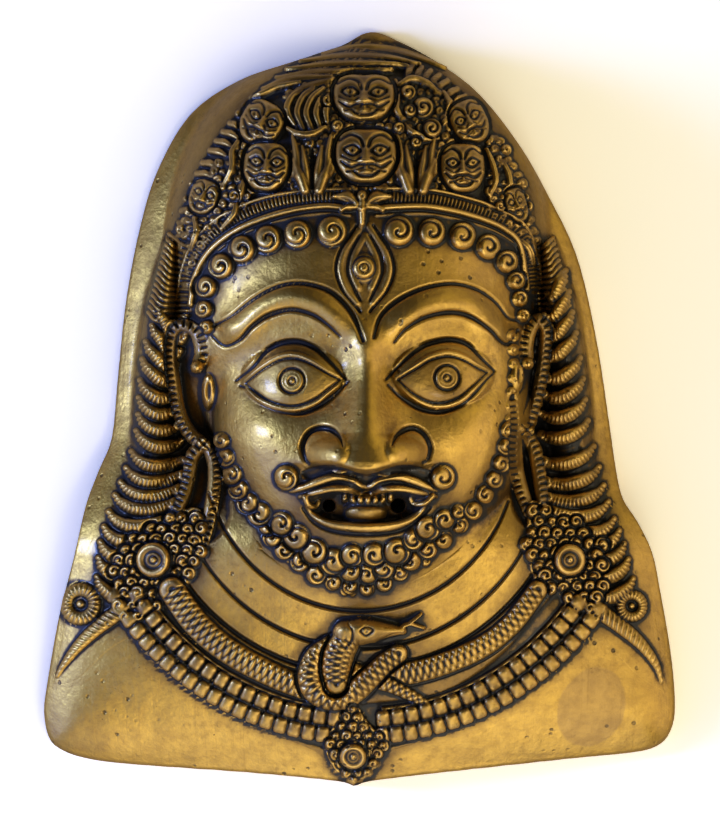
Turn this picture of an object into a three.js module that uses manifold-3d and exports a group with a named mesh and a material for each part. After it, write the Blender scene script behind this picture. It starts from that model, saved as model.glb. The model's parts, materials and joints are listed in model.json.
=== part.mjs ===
// Brass wall mask: a wrathful three-eyed face with a crown of small heads, cast in one piece,
// hollow and open at the back. Millimetres. The mask lies on its flat rim: +Z is the way the
// face looks, +Y points to the crown and +X to the viewer's right.
import * as THREE from "three";
import { mergeVertices } from "three/addons/utils/BufferGeometryUtils.js";
import Module from "manifold-3d";

const wasm = await Module();
wasm.setup();

// Driving dimensions
const TALL = 250; // pendant tip to crown peak
const DEPTH = 76; // rim to tip of nose
const WALL = 3.5; // thickness of the cast wall
const RIM_THICK = 3.5; // height of the rim's outer edge
const RIM_WIDE = 4; // flat band that touches the wall
const DRAFT_APEX = 700; // all sides lean to a point this far over the rim, to leave the mould
const LEFT_BORE = 4.3; // hole through the mouth beside the tongue, viewer's left
const RIGHT_BORE = 5; // the same, viewer's right

// The carving is drawn on a sheet 754 units tall, and its sizes are given for a 250 mm mask
const SHEET_TALL = 754;
const SHEET_MIDDLE = [360, 409];
const UNIT = TALL / SHEET_TALL;
const SCALE = TALL / 250;
const RELIEF = DEPTH / 76;
const ROOT = 1.6 * SCALE; // how deep an ornament's foot is sunk into the body
const FINE = 0.5 * SCALE; // how far the facets of the body may leave the true form
const COARSE = 1.2 * SCALE; // the same inside, where nobody looks
const FACETS = 9600; // facets of the finished casting
const FINEST = 1.2; // spacing of the grid that the body's heights are worked out on
const CELLS = 2 ** Math.ceil(Math.log2((TALL * 1.05) / FINEST)); // halved again and again
const FLOOR = -4; // below the rim plane, where the blocks are cut off

const at = (x, y) => new THREE.Vector2(
  (x - SHEET_MIDDLE[0]) * UNIT,
  (SHEET_MIDDLE[1] - y) * UNIT,
);
const route = (...numbers) => {
  const points = [];
  for (let i = 0; i < numbers.length; i += 2) points.push(at(numbers[i], numbers[i + 1]));
  return points;
};
const curve = (points, per = 6) => new THREE.SplineCurve(points).getPoints((points.length - 1) * per);

// The outline of the rim, from the peak down the viewer's left and back up the right
const RIM_CORNERS = route(
  370, 32, 340, 46.5, 292, 62, 238, 81, 190, 115, 157, 172, 139, 232, 126, 302, 118, 377,
  112, 437, 99, 470, 86, 505, 74, 557, 59, 617, 47, 685, 44, 712, 49, 738, 62, 750,
  85, 758, 125, 763.5, 245, 772, 337, 781, 354, 786, 371, 781, 445, 772, 565, 759,
  632, 752.5, 657, 746, 670, 732, 675, 707, 671, 655, 660, 590, 652, 552, 637, 521,
  623, 499, 616, 470, 608, 415, 596, 338, 577, 257, 549, 197, 520, 146, 480, 95,
  440, 64, 400, 42,
);
const RIM = new THREE.CatmullRomCurve3(
  RIM_CORNERS.map((p) => new THREE.Vector3(p.x, p.y, 0)), true, "catmullrom", 0.5,
).getPoints(RIM_CORNERS.length * 4).slice(0, -1);

// Small tools for smooth forms
const smooth = (low, high, x) => {
  const t = Math.min(Math.max((x - low) / (high - low), 0), 1);
  return t * t * (3 - 2 * t);
};
const blend = (a, b, round) => (a + b + Math.hypot(a - b, round)) / 2;
const dome = (q, rise, power) => rise * Math.sign(1 - q) * Math.abs(1 - q) ** power;
const swell = (q, rise, power) => (q < 1 ? rise * (1 - q) ** power : 0);
const hill = (q) => Math.exp(-q * q);
const oval = (x, y, rx, ry, power = 2) => (
  (Math.abs(x / rx) ** power + Math.abs(y / ry) ** power) ** (1 / power)
);
const ramp = (t, ...values) => {
  const place = Math.min(Math.max(t, 0), 1) * (values.length - 1);
  const i = Math.min(Math.floor(place), values.length - 2);
  return values[i] + (values[i + 1] - values[i]) * (place - i);
};
function nearest(u, v, line, closed = false) {
  let best = Infinity;
  let where = 0;
  const spans = closed ? line.length : line.length - 1;
  for (let i = 0; i < spans; i += 1) {
    const a = line[i];
    const b = line[(i + 1) % line.length];
    const dx = b.x - a.x;
    const dy = b.y - a.y;
    const t = Math.min(Math.max(((u - a.x) * dx + (v - a.y) * dy) / (dx * dx + dy * dy), 0), 1);
    const gap = (u - a.x - t * dx) ** 2 + (v - a.y - t * dy) ** 2;
    if (gap < best) {
      best = gap;
      where = (i + t) / spans;
    }
  }
  return { gap: Math.sqrt(best), along: where };
}

// Lines that the large forms follow
const HAIR = [
  curve(route(170, 246, 164, 300, 159, 350, 157, 400, 154, 450, 143, 500, 121, 548, 108, 592)),
  curve(route(548, 246, 557, 300, 563, 350, 567, 400, 570, 450, 581, 500, 603, 545, 615, 590)),
];
const BROWS = [
  curve(route(216, 331, 238, 327, 263, 306, 292, 298, 322, 306, 344, 324, 355, 345)),
  curve(route(514, 331, 494, 328, 474, 306, 448, 301, 420, 308, 397, 325, 382, 345)),
];
const NOSE = curve(route(367, 335, 367, 380, 367, 420, 366, 462));
const EYES = [at(292, 378), at(443, 375)];
const WINGS = [at(327, 449), at(408, 447)];
const CHEEKS = [at(258, 430), at(478, 424)];
const MOUTH = at(365, 507);
const TONGUE = at(366, 511);
const CHIN = at(360, 562);
const CROWN = at(357, 300);
const FACE = at(371, 397);
const NECK = at(360, 440);
const CHEST = at(360, 592);

// Height of the plain body over the rim plane, before any ornament is laid on it
function form(u, v) {
  const from = (p) => [(u - p.x) / SCALE, (v - p.y) / SCALE];
  const y = v / SCALE;
  const edge = nearest(u, v, RIM, true).gap / SCALE;
  const [cx, cy] = from(CHEST);
  let h = 9.5 * (1 - Math.exp(-edge / 8)) + 17 * Math.exp(-((oval(cx, cy, 92, 50, 2.2)) ** 3.2));
  const [nx, ny] = from(NECK);
  h = blend(h, 23.5 + 38 * (1 - oval(nx, ny, 74, 78)) - 34 * smooth(-50, 10, y), 5);
  const [kx, ky] = from(CROWN);
  const crown = 2.5 + dome(oval(kx, ky, 65, 82.5, 2.5) ** 2.3, 53, 0.62);
  const low = smooth(-25, 25, y);
  h = blend(h, crown * low + Math.min(crown, 13) * (1 - low), 4);
  for (const line of HAIR) {
    const { gap, along } = nearest(u, v, line);
    const q = (gap / SCALE / ramp(along, 3, 6.5, 7.5, 8.5, 9, 9, 7, 5)) ** 2;
    h = blend(h, -3.5 + dome(q, ramp(along, 26, 29.5, 27.5, 25.5, 24, 22, 19, 15), 0.5), 1.5);
  }
  const [fx, fy] = from(FACE);
  const narrow = 1 - 0.16 * smooth(-10, -60, y);
  h = blend(h, 18.5 + dome(oval(fx / narrow, fy, 52.6, 65, 2.35) ** 2.35, 40, 0.5), 2.5);
  for (const centre of EYES) {
    const [ex, ey] = from(centre);
    h -= 5.5 * hill(Math.hypot(ex / 20, ey / 13));
    h += swell(oval(ex, ey, 17, 11) ** 2, 7, 0.65);
  }
  for (const line of BROWS) {
    const { gap, along } = nearest(u, v, line);
    h += 3.2 * hill(gap / SCALE / 4.6) * smooth(0, 0.12, along) * (1 - 0.6 * smooth(0.75, 1, along));
  }
  const tip = nearest(u, v, NOSE);
  const under = smooth(-20.5, -15.5, y);
  h += (3.5 + 11.5 * tip.along ** 1.2) * hill(tip.gap / SCALE / (4.8 + 7.5 * tip.along ** 1.5)) * under;
  for (const centre of WINGS) {
    const [wx, wy] = from(centre);
    h += swell(oval(wx, wy, 6.4, 6.4) ** 2, 8, 0.6) * under;
  }
  for (const centre of CHEEKS) {
    const [wx, wy] = from(centre);
    h += 2.5 * hill(oval(wx, wy, 15, 14));
  }
  const [mx, my] = from(MOUTH);
  h += 3 * hill(oval(mx, my - 3, 26, 13));
  h -= 6.5 * (1 - smooth(0.75, 1.12, oval(mx, my, 18.5, 6.5, 2.2)));
  const [tx, ty] = from(TONGUE);
  h += swell(oval(tx, ty, 7.5, 4.6) ** 2, 4.5, 0.6);
  const [jx, jy] = from(CHIN);
  h += 3.5 * hill(oval(jx, jy, 24, 9));
  return RIM_THICK + h * RELIEF * SCALE;
}

// The body's heights are worked out once on a square grid and read off between its points
const SIDE = CELLS + 1;
const gridPoint = (i) => (i - CELLS / 2) * FINEST;
const FORM = new Float64Array(SIDE * SIDE);
for (let j = 0; j < SIDE; j += 1) {
  for (let i = 0; i < SIDE; i += 1) FORM[j * SIDE + i] = form(gridPoint(i), gridPoint(j));
}
function heightAt(u, v, table = FORM) {
  const x = Math.min(Math.max(u / FINEST + CELLS / 2, 0), CELLS - 0.001);
  const y = Math.min(Math.max(v / FINEST + CELLS / 2, 0), CELLS - 0.001);
  const i = Math.floor(x);
  const j = Math.floor(y);
  const row = (k) => {
    const a = table[k * SIDE + i];
    return a + (table[k * SIDE + i + 1] - a) * (x - i);
  };
  return row(j) + (row(j + 1) - row(j)) * (y - j);
}
function normalAt(u, v) {
  const step = 1.5 * SCALE;
  const dx = (heightAt(u + step, v) - heightAt(u - step, v)) / (2 * step);
  const dy = (heightAt(u, v + step) - heightAt(u, v - step)) / (2 * step);
  return new THREE.Vector3(-dx, -dy, 1).normalize();
}

// The inside keeps the wall's thickness to the outside, measured square to the surface
const CORE = FORM.map((_, k) => {
  const u = gridPoint(k % SIDE);
  const v = gridPoint(Math.floor(k / SIDE));
  let low = Infinity;
  for (const share of [0, 0.5, 0.8, 0.95]) {
    const reach = share * WALL;
    const drop = Math.sqrt(WALL ** 2 - reach ** 2);
    const turns = share === 0 ? 1 : 12;
    for (let i = 0; i < turns; i += 1) {
      const a = (i / turns) * 2 * Math.PI;
      low = Math.min(low, heightAt(u + reach * Math.cos(a), v + reach * Math.sin(a)) - drop);
    }
  }
  return low;
});

// Every point moves towards the apex as it rises, which gives all sides their draft
const drafted = (u, v, h) => [u * (1 - h / DRAFT_APEX), v * (1 - h / DRAFT_APEX), h];

// A closed geometry becomes a solid, bent by a function of its points and turned right way out
function solid(geometry, bend) {
  const bare = geometry.clone();
  bare.deleteAttribute("normal");
  bare.deleteAttribute("uv");
  const shape = mergeVertices(bare, 1e-5);
  const place = shape.attributes.position;
  for (let i = 0; i < place.count; i += 1) {
    place.setXYZ(i, ...drafted(...bend(place.getX(i), place.getY(i), place.getZ(i))));
  }
  const vertProperties = new Float32Array(place.array);
  const triVerts = new Uint32Array(shape.index.array);
  let volume = 0;
  const corner = (k) => new THREE.Vector3().fromArray(vertProperties, triVerts[k] * 3);
  for (let k = 0; k < triVerts.length; k += 3) {
    volume += corner(k).dot(corner(k + 1).cross(corner(k + 2)));
  }
  if (volume < 0) {
    for (let k = 0; k < triVerts.length; k += 3) {
      [triVerts[k], triVerts[k + 1]] = [triVerts[k + 1], triVerts[k]];
    }
  }
  return new wasm.Manifold(new wasm.Mesh({ numProp: 3, vertProperties, triVerts }));
}

// A block whose top follows a table of heights, with large facets where the form is plain
function reliefBlock(table, tolerance, inUse) {
  const errors = new Float64Array(SIDE * SIDE);
  const total = CELLS * CELLS * 2 - 2;
  const parents = total - CELLS * CELLS;
  const key = (x, y) => y * SIDE + x;
  for (let n = total - 1; n >= 0; n -= 1) {
    let id = n + 2;
    let [ax, ay, bx, by, cx, cy] = id & 1 ? [0, 0, CELLS, CELLS, CELLS, 0] : [CELLS, CELLS, 0, 0, 0, CELLS];
    while ((id >>= 1) > 1) {
      const mx = (ax + bx) >> 1;
      const my = (ay + by) >> 1;
      if (id & 1) [bx, by, ax, ay] = [ax, ay, cx, cy];
      else [ax, ay, bx, by] = [bx, by, cx, cy];
      [cx, cy] = [mx, my];
    }
    const mx = (ax + bx) >> 1;
    const my = (ay + by) >> 1;
    const middle = key(mx, my);
    const miss = Math.abs((table[key(ax, ay)] + table[key(bx, by)]) / 2 - table[middle]);
    const own = inUse(gridPoint(mx), gridPoint(my)) ? miss : 0;
    errors[middle] = Math.max(errors[middle], own);
    if (n < parents) {
      const left = errors[key((ax + cx) >> 1, (ay + cy) >> 1)];
      const right = errors[key((bx + cx) >> 1, (by + cy) >> 1)];
      errors[middle] = Math.max(errors[middle], left, right);
    }
  }
  const points = [];
  const facets = [];
  const known = new Map();
  const vertex = (x, y) => {
    const k = key(x, y);
    if (!known.has(k)) {
      known.set(k, points.length / 3);
      points.push(gridPoint(x), gridPoint(y), table[k]);
    }
    return known.get(k);
  };
  const split = (ax, ay, bx, by, cx, cy) => {
    const mx = (ax + bx) >> 1;
    const my = (ay + by) >> 1;
    if (Math.abs(ax - cx) + Math.abs(ay - cy) > 1 && errors[key(mx, my)] > tolerance) {
      split(cx, cy, ax, ay, mx, my);
      split(bx, by, cx, cy, mx, my);
    } else facets.push(vertex(ax, ay), vertex(bx, by), vertex(cx, cy));
  };
  split(0, 0, CELLS, CELLS, CELLS, 0);
  split(CELLS, CELLS, 0, 0, 0, CELLS);
  const count = points.length / 3;
  const edges = new Map();
  for (let k = 0; k < facets.length; k += 3) {
    for (const [a, b] of [[0, 1], [1, 2], [2, 0]]) {
      const [p, q] = [facets[k + a], facets[k + b]];
      if (!edges.delete(`${q}_${p}`)) edges.set(`${p}_${q}`, [p, q]);
    }
  }
  const top = facets.slice();
  for (let k = 0; k < count; k += 1) points.push(points[k * 3], points[k * 3 + 1], FLOOR);
  for (let k = 0; k < top.length; k += 3) {
    facets.push(top[k + 1] + count, top[k] + count, top[k + 2] + count);
  }
  for (const [p, q] of edges.values()) facets.push(q, p, p + count, q, p + count, q + count);
  const geometry = new THREE.BufferGeometry();
  geometry.setAttribute("position", new THREE.Float32BufferAttribute(points, 3));
  geometry.setIndex(facets);
  return solid(geometry, (x, y, z) => [x, y, z]);
}

// A prism over a closed line, from one height to another
function prism(line, low, high) {
  const geometry = new THREE.ExtrudeGeometry(
    new THREE.Shape(line.map((p) => new THREE.Vector2(p.x, p.y))),
    { depth: high - low, bevelEnabled: false },
  );
  return solid(geometry, (x, y, z) => [x, y, z + low]);
}
const inset = RIM.map((p, i) => {
  const before = RIM[(i + RIM.length - 1) % RIM.length];
  const after = RIM[(i + 1) % RIM.length];
  const way = new THREE.Vector2(after.x - before.x, after.y - before.y).normalize();
  return new THREE.Vector2(p.x - way.y * RIM_WIDE, p.y + way.x * RIM_WIDE);
}).filter((p) => nearest(p.x, p.y, RIM, true).gap > RIM_WIDE - 0.05);

// A point of an ornament: a place on the body, lifted square to its surface or sunk into it
function lifted(u, v, rise) {
  const normal = normalAt(u, v);
  return [u + normal.x * rise, v + normal.y * rise, heightAt(u, v) + normal.z * rise];
}
const SHARP = [[-1.15, -1], [1.15, -1], [0, 1]];
const FLAT = [[-1.1, -1], [1.1, -1], [0.6, 1], [-0.6, 1]];
const FULL = [[-1, -1], [1, -1], [0.9, 0.35], [0.4, 1], [-0.4, 1], [-0.9, 0.35]];
const asValue = (size, t) => (typeof size === "function" ? size(t) : size) * SCALE;

// A raised line along a route on the body, with half width and rise given along it
function ridge(points, steps, half, rise, section = SHARP) {
  const line = new THREE.SplineCurve(points);
  const shape = new THREE.Shape(section.map(([x, y]) => new THREE.Vector2(x, y)));
  const geometry = new THREE.ExtrudeGeometry(shape, { depth: 1, steps, bevelEnabled: false });
  return solid(geometry, (x, y, z) => {
    const p = line.getPoint(z);
    const way = line.getTangent(z);
    const reach = x * asValue(half, z);
    const up = y > 0 ? y * asValue(rise, z) : y * ROOT;
    return lifted(p.x - way.y * reach, p.y + way.x * reach, up);
  });
}

// A raised round ornament: its profile runs from the foot's edge (1, -1) to its middle
function boss(centre, rx, ry, rise, sides, profile, turn = 0) {
  const outline = [[0, -1], ...profile].map(([x, y]) => new THREE.Vector2(x, y));
  const geometry = new THREE.LatheGeometry(outline, sides);
  const [c, s] = [Math.cos(turn), Math.sin(turn)];
  return solid(geometry, (x, y, z) => {
    const [a, b] = [x * rx * SCALE, z * ry * SCALE];
    const up = y > 0 ? y * rise * SCALE : y * ROOT;
    return lifted(centre.x + a * c - b * s, centre.y + a * s + b * c, up);
  });
}
const DOMED = [[1, -1], [0.85, 0.5], [0.45, 0.9], [0, 1]];
const STUD = [[1, -1], [0.6, 1], [0, 1]];
const CURLED = [[1.05, -1], [0.72, 1], [0, 0.4]];
const RINGED = [[1, -1], [0.85, 0.6], [0.6, 0.2], [0.4, 0.9], [0, 1]];

// A square bead, narrower at its top
function bead(centre, turn, wide, long, rise) {
  const [c, s] = [Math.cos(turn), Math.sin(turn)];
  return solid(new THREE.BoxGeometry(1, 1, 2), (x, y, z) => {
    const share = z > 0 ? 0.62 : 1;
    const [a, b] = [x * wide * share * SCALE, y * long * share * SCALE];
    return lifted(centre.x + a * c - b * s, centre.y + a * s + b * c, z > 0 ? rise * SCALE : -ROOT);
  });
}

const mirrored = (points, axis) => points.map((p) => new THREE.Vector2(2 * at(axis, 0).x - p.x, p.y));
const onLine = (points, count, make) => {
  const line = new THREE.SplineCurve(points);
  const made = [];
  for (let i = 0; i < count; i += 1) {
    const t = count > 1 ? i / (count - 1) : 0;
    made.push(make(line.getPoint(t), t));
  }
  return made;
};

function headband() {
  const LEFT_RAIL = route(192, 300, 196, 272, 212, 248, 240, 228, 280, 212, 320, 206, 362, 207);
  const RIGHT_RAIL = route(362, 207, 400, 206, 450, 210, 482, 218, 508, 231, 525, 258, 528, 292);
  const LEFT_BAND = route(186, 300, 189, 268, 204, 241, 231, 219, 272, 203, 315, 196, 362, 195);
  const RIGHT_BAND = route(362, 195, 400, 196, 445, 199, 480, 208, 512, 223, 531, 250, 535, 290);
  return [
    ...[LEFT_RAIL, RIGHT_RAIL].map((line) => ridge(line, 11, 1.1, 1.7)),
    ...[LEFT_BAND, RIGHT_BAND].map((line) => ridge(line, 11, 2, 1.9, FLAT)),
    boss(at(362, 203), 4, 4.6, 3, 6, STUD),
    ridge(route(362, 202, 350, 196, 336, 199), 2, 2.2, 2.8),
    ridge(route(362, 202, 374, 196, 388, 199), 2, 2.2, 2.8),
  ];
}

// Curls under the headband, each a ring round a hollow, smaller towards the temples
function foreheadCurls() {
  const LEFT_CURLS = route(334, 231, 300, 234, 267, 239, 240, 250, 218, 267, 205, 289, 203, 312);
  const RIGHT_CURLS = route(399, 230, 432, 232, 463, 237, 489, 247, 507, 262, 517, 283, 523, 312);
  const size = (t) => ramp(t, 4.6, 4.5, 4.4, 4.2, 3.9, 3.2, 2.5);
  return [LEFT_CURLS, RIGHT_CURLS].flatMap((line) => (
    onLine(line, 7, (p, t) => boss(p, size(t), size(t), 2.6, 6, CURLED))
  ));
}

// A small face: a domed head with brow, nose and moustache standing off it
function smallHead(x, y, wide, tall, rise, turn = 0) {
  const centre = at(x, y);
  const [rx, ry] = [(wide / 2) * UNIT / SCALE, (tall / 2) * UNIT / SCALE];
  const [c, s] = [Math.cos(turn), Math.sin(turn)];
  const spot = (a, b) => new THREE.Vector2(
    centre.x + (a * rx * c - b * ry * s) * SCALE,
    centre.y + (a * rx * s + b * ry * c) * SCALE,
  );
  return [
    boss(centre, rx, ry, rise, 8, DOMED, turn),
    ridge([spot(-0.55, 0.2), spot(0, 0.32), spot(0.55, 0.2)], 2, 0.9, rise + 0.9),
    ridge([spot(0, 0.3), spot(0, -0.18)], 1, (t) => 0.7 + 0.7 * t, (t) => rise + 0.9 + 0.9 * t),
    ridge([spot(-0.5, -0.45), spot(0, -0.3), spot(0.5, -0.45)], 2, 0.8, rise + 0.7),
  ];
}
function crown() {
  const HEADS = [
    [364, 97, 60, 46, 4.6], [367, 155, 62, 55, 5], [266, 166, 46, 48, 4.2], [462, 166, 44, 46, 4],
    [262, 121, 38, 42, 3.6, 0.5], [468, 121, 34, 40, 3.4, -0.5], [205, 196, 28, 32, 3],
  ];
  const leaf = (line, half, rise) => ridge(line, 3, (t) => half * Math.sin(Math.PI * (0.15 + 0.8 * t)), rise);
  const hands = [[310, 160, -1], [415, 160, 1]].flatMap(([x, y, side]) => [
    leaf(route(x + 4 * side, y + 24, x + 12 * side, y, x + 10 * side, y - 24), 3, 3.4),
    leaf(route(x - 4 * side, y + 24, x - 12 * side, y + 2, x - 12 * side, y - 22), 3, 3.2),
  ]);
  const flames = [
    [290, 124, 300, 104, 316, 88], [306, 128, 318, 110, 330, 94],
    [402, 122, 414, 100, 430, 84], [420, 126, 434, 112, 448, 100],
    [176, 240, 180, 214, 194, 176], [196, 232, 214, 214, 226, 184], [222, 200, 234, 172, 240, 150],
    [526, 240, 522, 214, 514, 190], [502, 222, 508, 196, 502, 166], [488, 186, 492, 160, 484, 140],
  ].map((line) => leaf(route(...line), 2.6, 2.8));
  const strands = [
    [236, 106, 262, 84, 330, 66], [300, 84, 340, 66, 392, 60], [340, 60, 370, 50, 410, 56],
    [404, 62, 440, 76, 470, 104],
  ].map((line) => ridge(route(...line), 3, 1.5, 1.8));
  return [...HEADS.flatMap((head) => smallHead(...head)), ...hands, ...flames, ...strands];
}

function thirdEye() {
  const LEFT_FLAME = route(354, 226, 341, 245, 337, 266, 343, 287, 361, 309);
  return [
    ridge(LEFT_FLAME, 5, 1.2, 1.5),
    ridge(mirrored(LEFT_FLAME, 363), 5, 1.2, 1.5),
    boss(at(362, 268), 4, 4.4, 1.8, 8, RINGED),
  ];
}

// Lids with long corners, and a ringed iris that stands off the ball
function eyes() {
  const UPPER = route(237, 382, 255, 367, 270, 353, 292, 347, 315, 352, 333, 367, 345, 380);
  const LOWER = route(239, 383, 257, 393, 275, 405, 297, 409, 320, 401, 337, 389, 346, 380);
  const RIGHT_UPPER = route(388, 380, 402, 364, 418, 350, 442, 343, 465, 346, 480, 359, 492, 372);
  const RIGHT_LOWER = route(388, 380, 402, 395, 420, 406, 442, 409, 462, 402, 478, 390, 492, 373);
  const lid = (line, rise) => ridge(line, 9, 1.25, rise);
  return [
    lid(UPPER, 2.2), lid(RIGHT_UPPER, 2.2), lid(LOWER, 1.6), lid(RIGHT_LOWER, 1.6),
    boss(at(292, 381), 4, 4, 1, 8, RINGED),
    boss(at(447, 378), 4, 4, 1, 8, RINGED),
  ];
}
function brows() {
  const LEFT_BROW = route(212, 331, 232, 322, 252, 304, 275, 291, 300, 289, 326, 298, 346, 316, 360, 342);
  const RIGHT_BROW = route(518, 327, 500, 318, 482, 299, 460, 290, 432, 292, 404, 301, 386, 318, 374, 340);
  return [LEFT_BROW, RIGHT_BROW].map((line) => (
    ridge(line, 10, (t) => 1.6 * Math.sin(Math.PI * (0.06 + 0.88 * t)) + 0.4, 1.5)
  ));
}

// A moustache with curled ends over an open mouth with teeth and two small fangs
function mouth() {
  const MOUSTACHE = route(
    284, 484, 300, 491, 325, 484, 345, 481, 366, 489, 388, 481, 408, 483, 430, 489, 444, 484,
  );
  const UPPER_LIP = route(302, 496, 332, 490, 366, 496, 400, 490, 430, 496);
  const LOWER_LIP = route(305, 503, 322, 521, 345, 531, 368, 532, 392, 529, 411, 519, 426, 503);
  return [
    ridge(MOUSTACHE, 8, (t) => 1.3 + 0.9 * Math.sin(Math.PI * t), 2.4),
    ridge(UPPER_LIP, 6, 1.1, 1.6),
    ridge(LOWER_LIP, 8, (t) => 0.7 + 0.9 * Math.sin(Math.PI * t), 2.6),
    boss(at(287, 477), 4, 4, 2.6, 7, CURLED),
    boss(at(442, 477), 4, 4, 2.6, 7, CURLED),
    ridge(route(344, 498, 366, 502, 390, 498), 3, 1.3, 2.4, FLAT),
    boss(at(315, 502), 1.6, 2, 3, 5, STUD),
    boss(at(413, 501), 1.6, 2, 3, 5, STUD),
  ];
}
function nose() {
  const LEFT_WING = route(341, 443, 333, 432, 320, 429, 309, 437, 304, 450);
  const RIGHT_WING = route(393, 441, 401, 431, 412, 430, 422, 438, 427, 450);
  return [LEFT_WING, RIGHT_WING].map((line) => ridge(line, 4, 1, 1));
}

// The beard: a chain of curls down each cheek, and rows under the mouth
function beard() {
  const UPPER_ROW = route(
    220, 440, 229, 475, 246, 502, 281, 524, 315, 545, 352, 557, 390, 553, 424, 534, 460, 526,
    488, 492, 506, 450,
  );
  const MIDDLE_ROW = route(272, 540, 300, 563, 334, 570, 366, 573, 398, 570, 428, 555, 448, 542);
  const CHIN_ROW = route(318, 580, 336, 587, 356, 590, 376, 587, 394, 580);
  const curl = (r, rise) => (p) => boss(p, r, r, rise, 5, CURLED);
  return [
    ...onLine(UPPER_ROW, 19, curl(3.2, 2.6)),
    ...onLine(MIDDLE_ROW, 9, curl(3.1, 2.6)),
    ...onLine(CHIN_ROW, 5, curl(2.6, 2.2)),
  ];
}

// Side hair: sagging ringlets one under the other, from the outer edge in to the ear
function ringlets() {
  const rows = 15;
  const OUTER = [
    route(150, 335, 143, 360, 140, 400, 137, 440, 128, 480, 115, 512, 103, 548, 98, 585),
    route(571, 285, 572, 330, 580, 380, 586, 430, 598, 480, 608, 520, 620, 550, 630, 585),
  ];
  const INNER = [
    route(176, 340, 173, 365, 172, 400, 178, 440, 180, 475, 168, 508, 134, 550, 122, 592),
    route(546, 300, 545, 340, 546, 385, 542, 432, 546, 482, 556, 515, 592, 552, 596, 592),
  ];
  return [0, 1].flatMap((side) => {
    const outer = new THREE.SplineCurve(OUTER[side]);
    const inner = new THREE.SplineCurve(INNER[side]);
    return onLine(OUTER[side], rows, (_, t) => {
      const a = outer.getPoint(t);
      const b = inner.getPoint(t);
      const sag = new THREE.Vector2((a.x + b.x) / 2, (a.y + b.y) / 2 - 2.6 * SCALE);
      return ridge([a, sag, b], 2, 1.9, 1.9);
    });
  });
}

// Snake-headed strands that hang from the ears over the hair
function ears() {
  const STRANDS = [
    [[194, 366, 200, 345, 188, 322, 174, 322, 169, 350, 173, 395, 186, 430, 204, 443], 1.5],
    [[204, 443, 193, 458, 187, 485, 178, 515], 1.6],
    [[204, 443, 213, 455, 213, 485, 204, 525, 197, 545], 1.6],
    [[530, 362, 528, 342, 538, 318, 546, 332, 543, 362, 538, 400, 526, 430], 1.4],
    [[526, 430, 515, 450, 513, 480, 525, 520], 1.5],
    [[526, 430, 535, 452, 538, 475, 541, 500], 1.5],
    [[517, 392, 513, 410, 517, 432], 1.2],
  ];
  return [
    ...STRANDS.map(([line, half]) => ridge(route(...line), line.length - 3, half, 3)),
    boss(at(205, 443), 2.6, 2.6, 3.6, 6, STUD),
    boss(at(525, 432), 2.4, 2.4, 3.6, 6, STUD),
    boss(at(208, 392), 2.8, 7, 3.2, 6, DOMED),
    boss(at(519, 385), 2, 6, 2.6, 6, DOMED),
  ];
}

// Ringed bosses on the shoulders, each on a leafy plaque, with a horned tail below
function shoulders() {
  const LEAVES = [
    [153, 560, [126, 545, 165, 528, 192, 520, 196, 548, 182, 584, 152, 597, 124, 578], 5.4],
    [570, 560, [536, 512, 572, 524, 594, 545, 600, 578, 592, 604, 562, 590, 540, 566], 5],
  ];
  const TAILS = [
    [116, 618, 96, 632, 76, 652, 58, 674], [604, 616, 624, 630, 644, 650, 660, 680],
  ];
  return [
    ...LEAVES.flatMap(([x, y, spots, r]) => {
      const centres = route(...spots);
      return [boss(at(x, y), r, r, 3.8, 10, RINGED), ...centres.map((p) => boss(p, 3.8, 3.8, 2.4, 5, STUD))];
    }),
    ...TAILS.map((line) => ridge(route(...line), 4, (t) => 3.4 - 2.4 * t, (t) => 3.2 - 1.6 * t, FLAT)),
    boss(at(81, 605), 5.4, 5.8, 2.8, 8, RINGED),
    boss(at(630, 605), 4.4, 4.8, 2.6, 8, RINGED),
  ];
}

// Rings round the neck, all on ovals about one centre
function onNeck(rx, ry, angle) {
  const a = (angle * Math.PI) / 180;
  return new THREE.Vector2(NECK.x + rx * SCALE * Math.sin(a), NECK.y - ry * SCALE * Math.cos(a));
}
const neckRoute = (rx, ry, from, to, count = 8) => (
  Array.from({ length: count + 1 }, (_, i) => onNeck(rx, ry, from + ((to - from) * i) / count))
);
function collars() {
  return [
    ridge(neckRoute(52.7, 56.7, -68, 66), 14, 1.1, 1.3),
    ridge(neckRoute(63.7, 69, -64, 62), 14, 1.1, 1.3),
    ridge(neckRoute(70.5, 75, -60, 58), 14, 0.9, 1.2),
  ];
}
function garland() {
  const ROWS = [
    [89.2, 92.8, -56, -6, 16], [96.2, 98.5, -58, -5.5, 18],
    [89.2, 92.8, 5, 54, 16], [96.2, 98.5, 5, 55, 17],
  ];
  return ROWS.flatMap(([rx, ry, from, to, count]) => (
    Array.from({ length: count }, (_, i) => {
      const angle = from + ((to - from) * i) / (count - 1);
      return bead(onNeck(rx, ry, angle), (angle * Math.PI) / 180, 4.6, 5.4, 2.6);
    })
  ));
}

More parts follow.
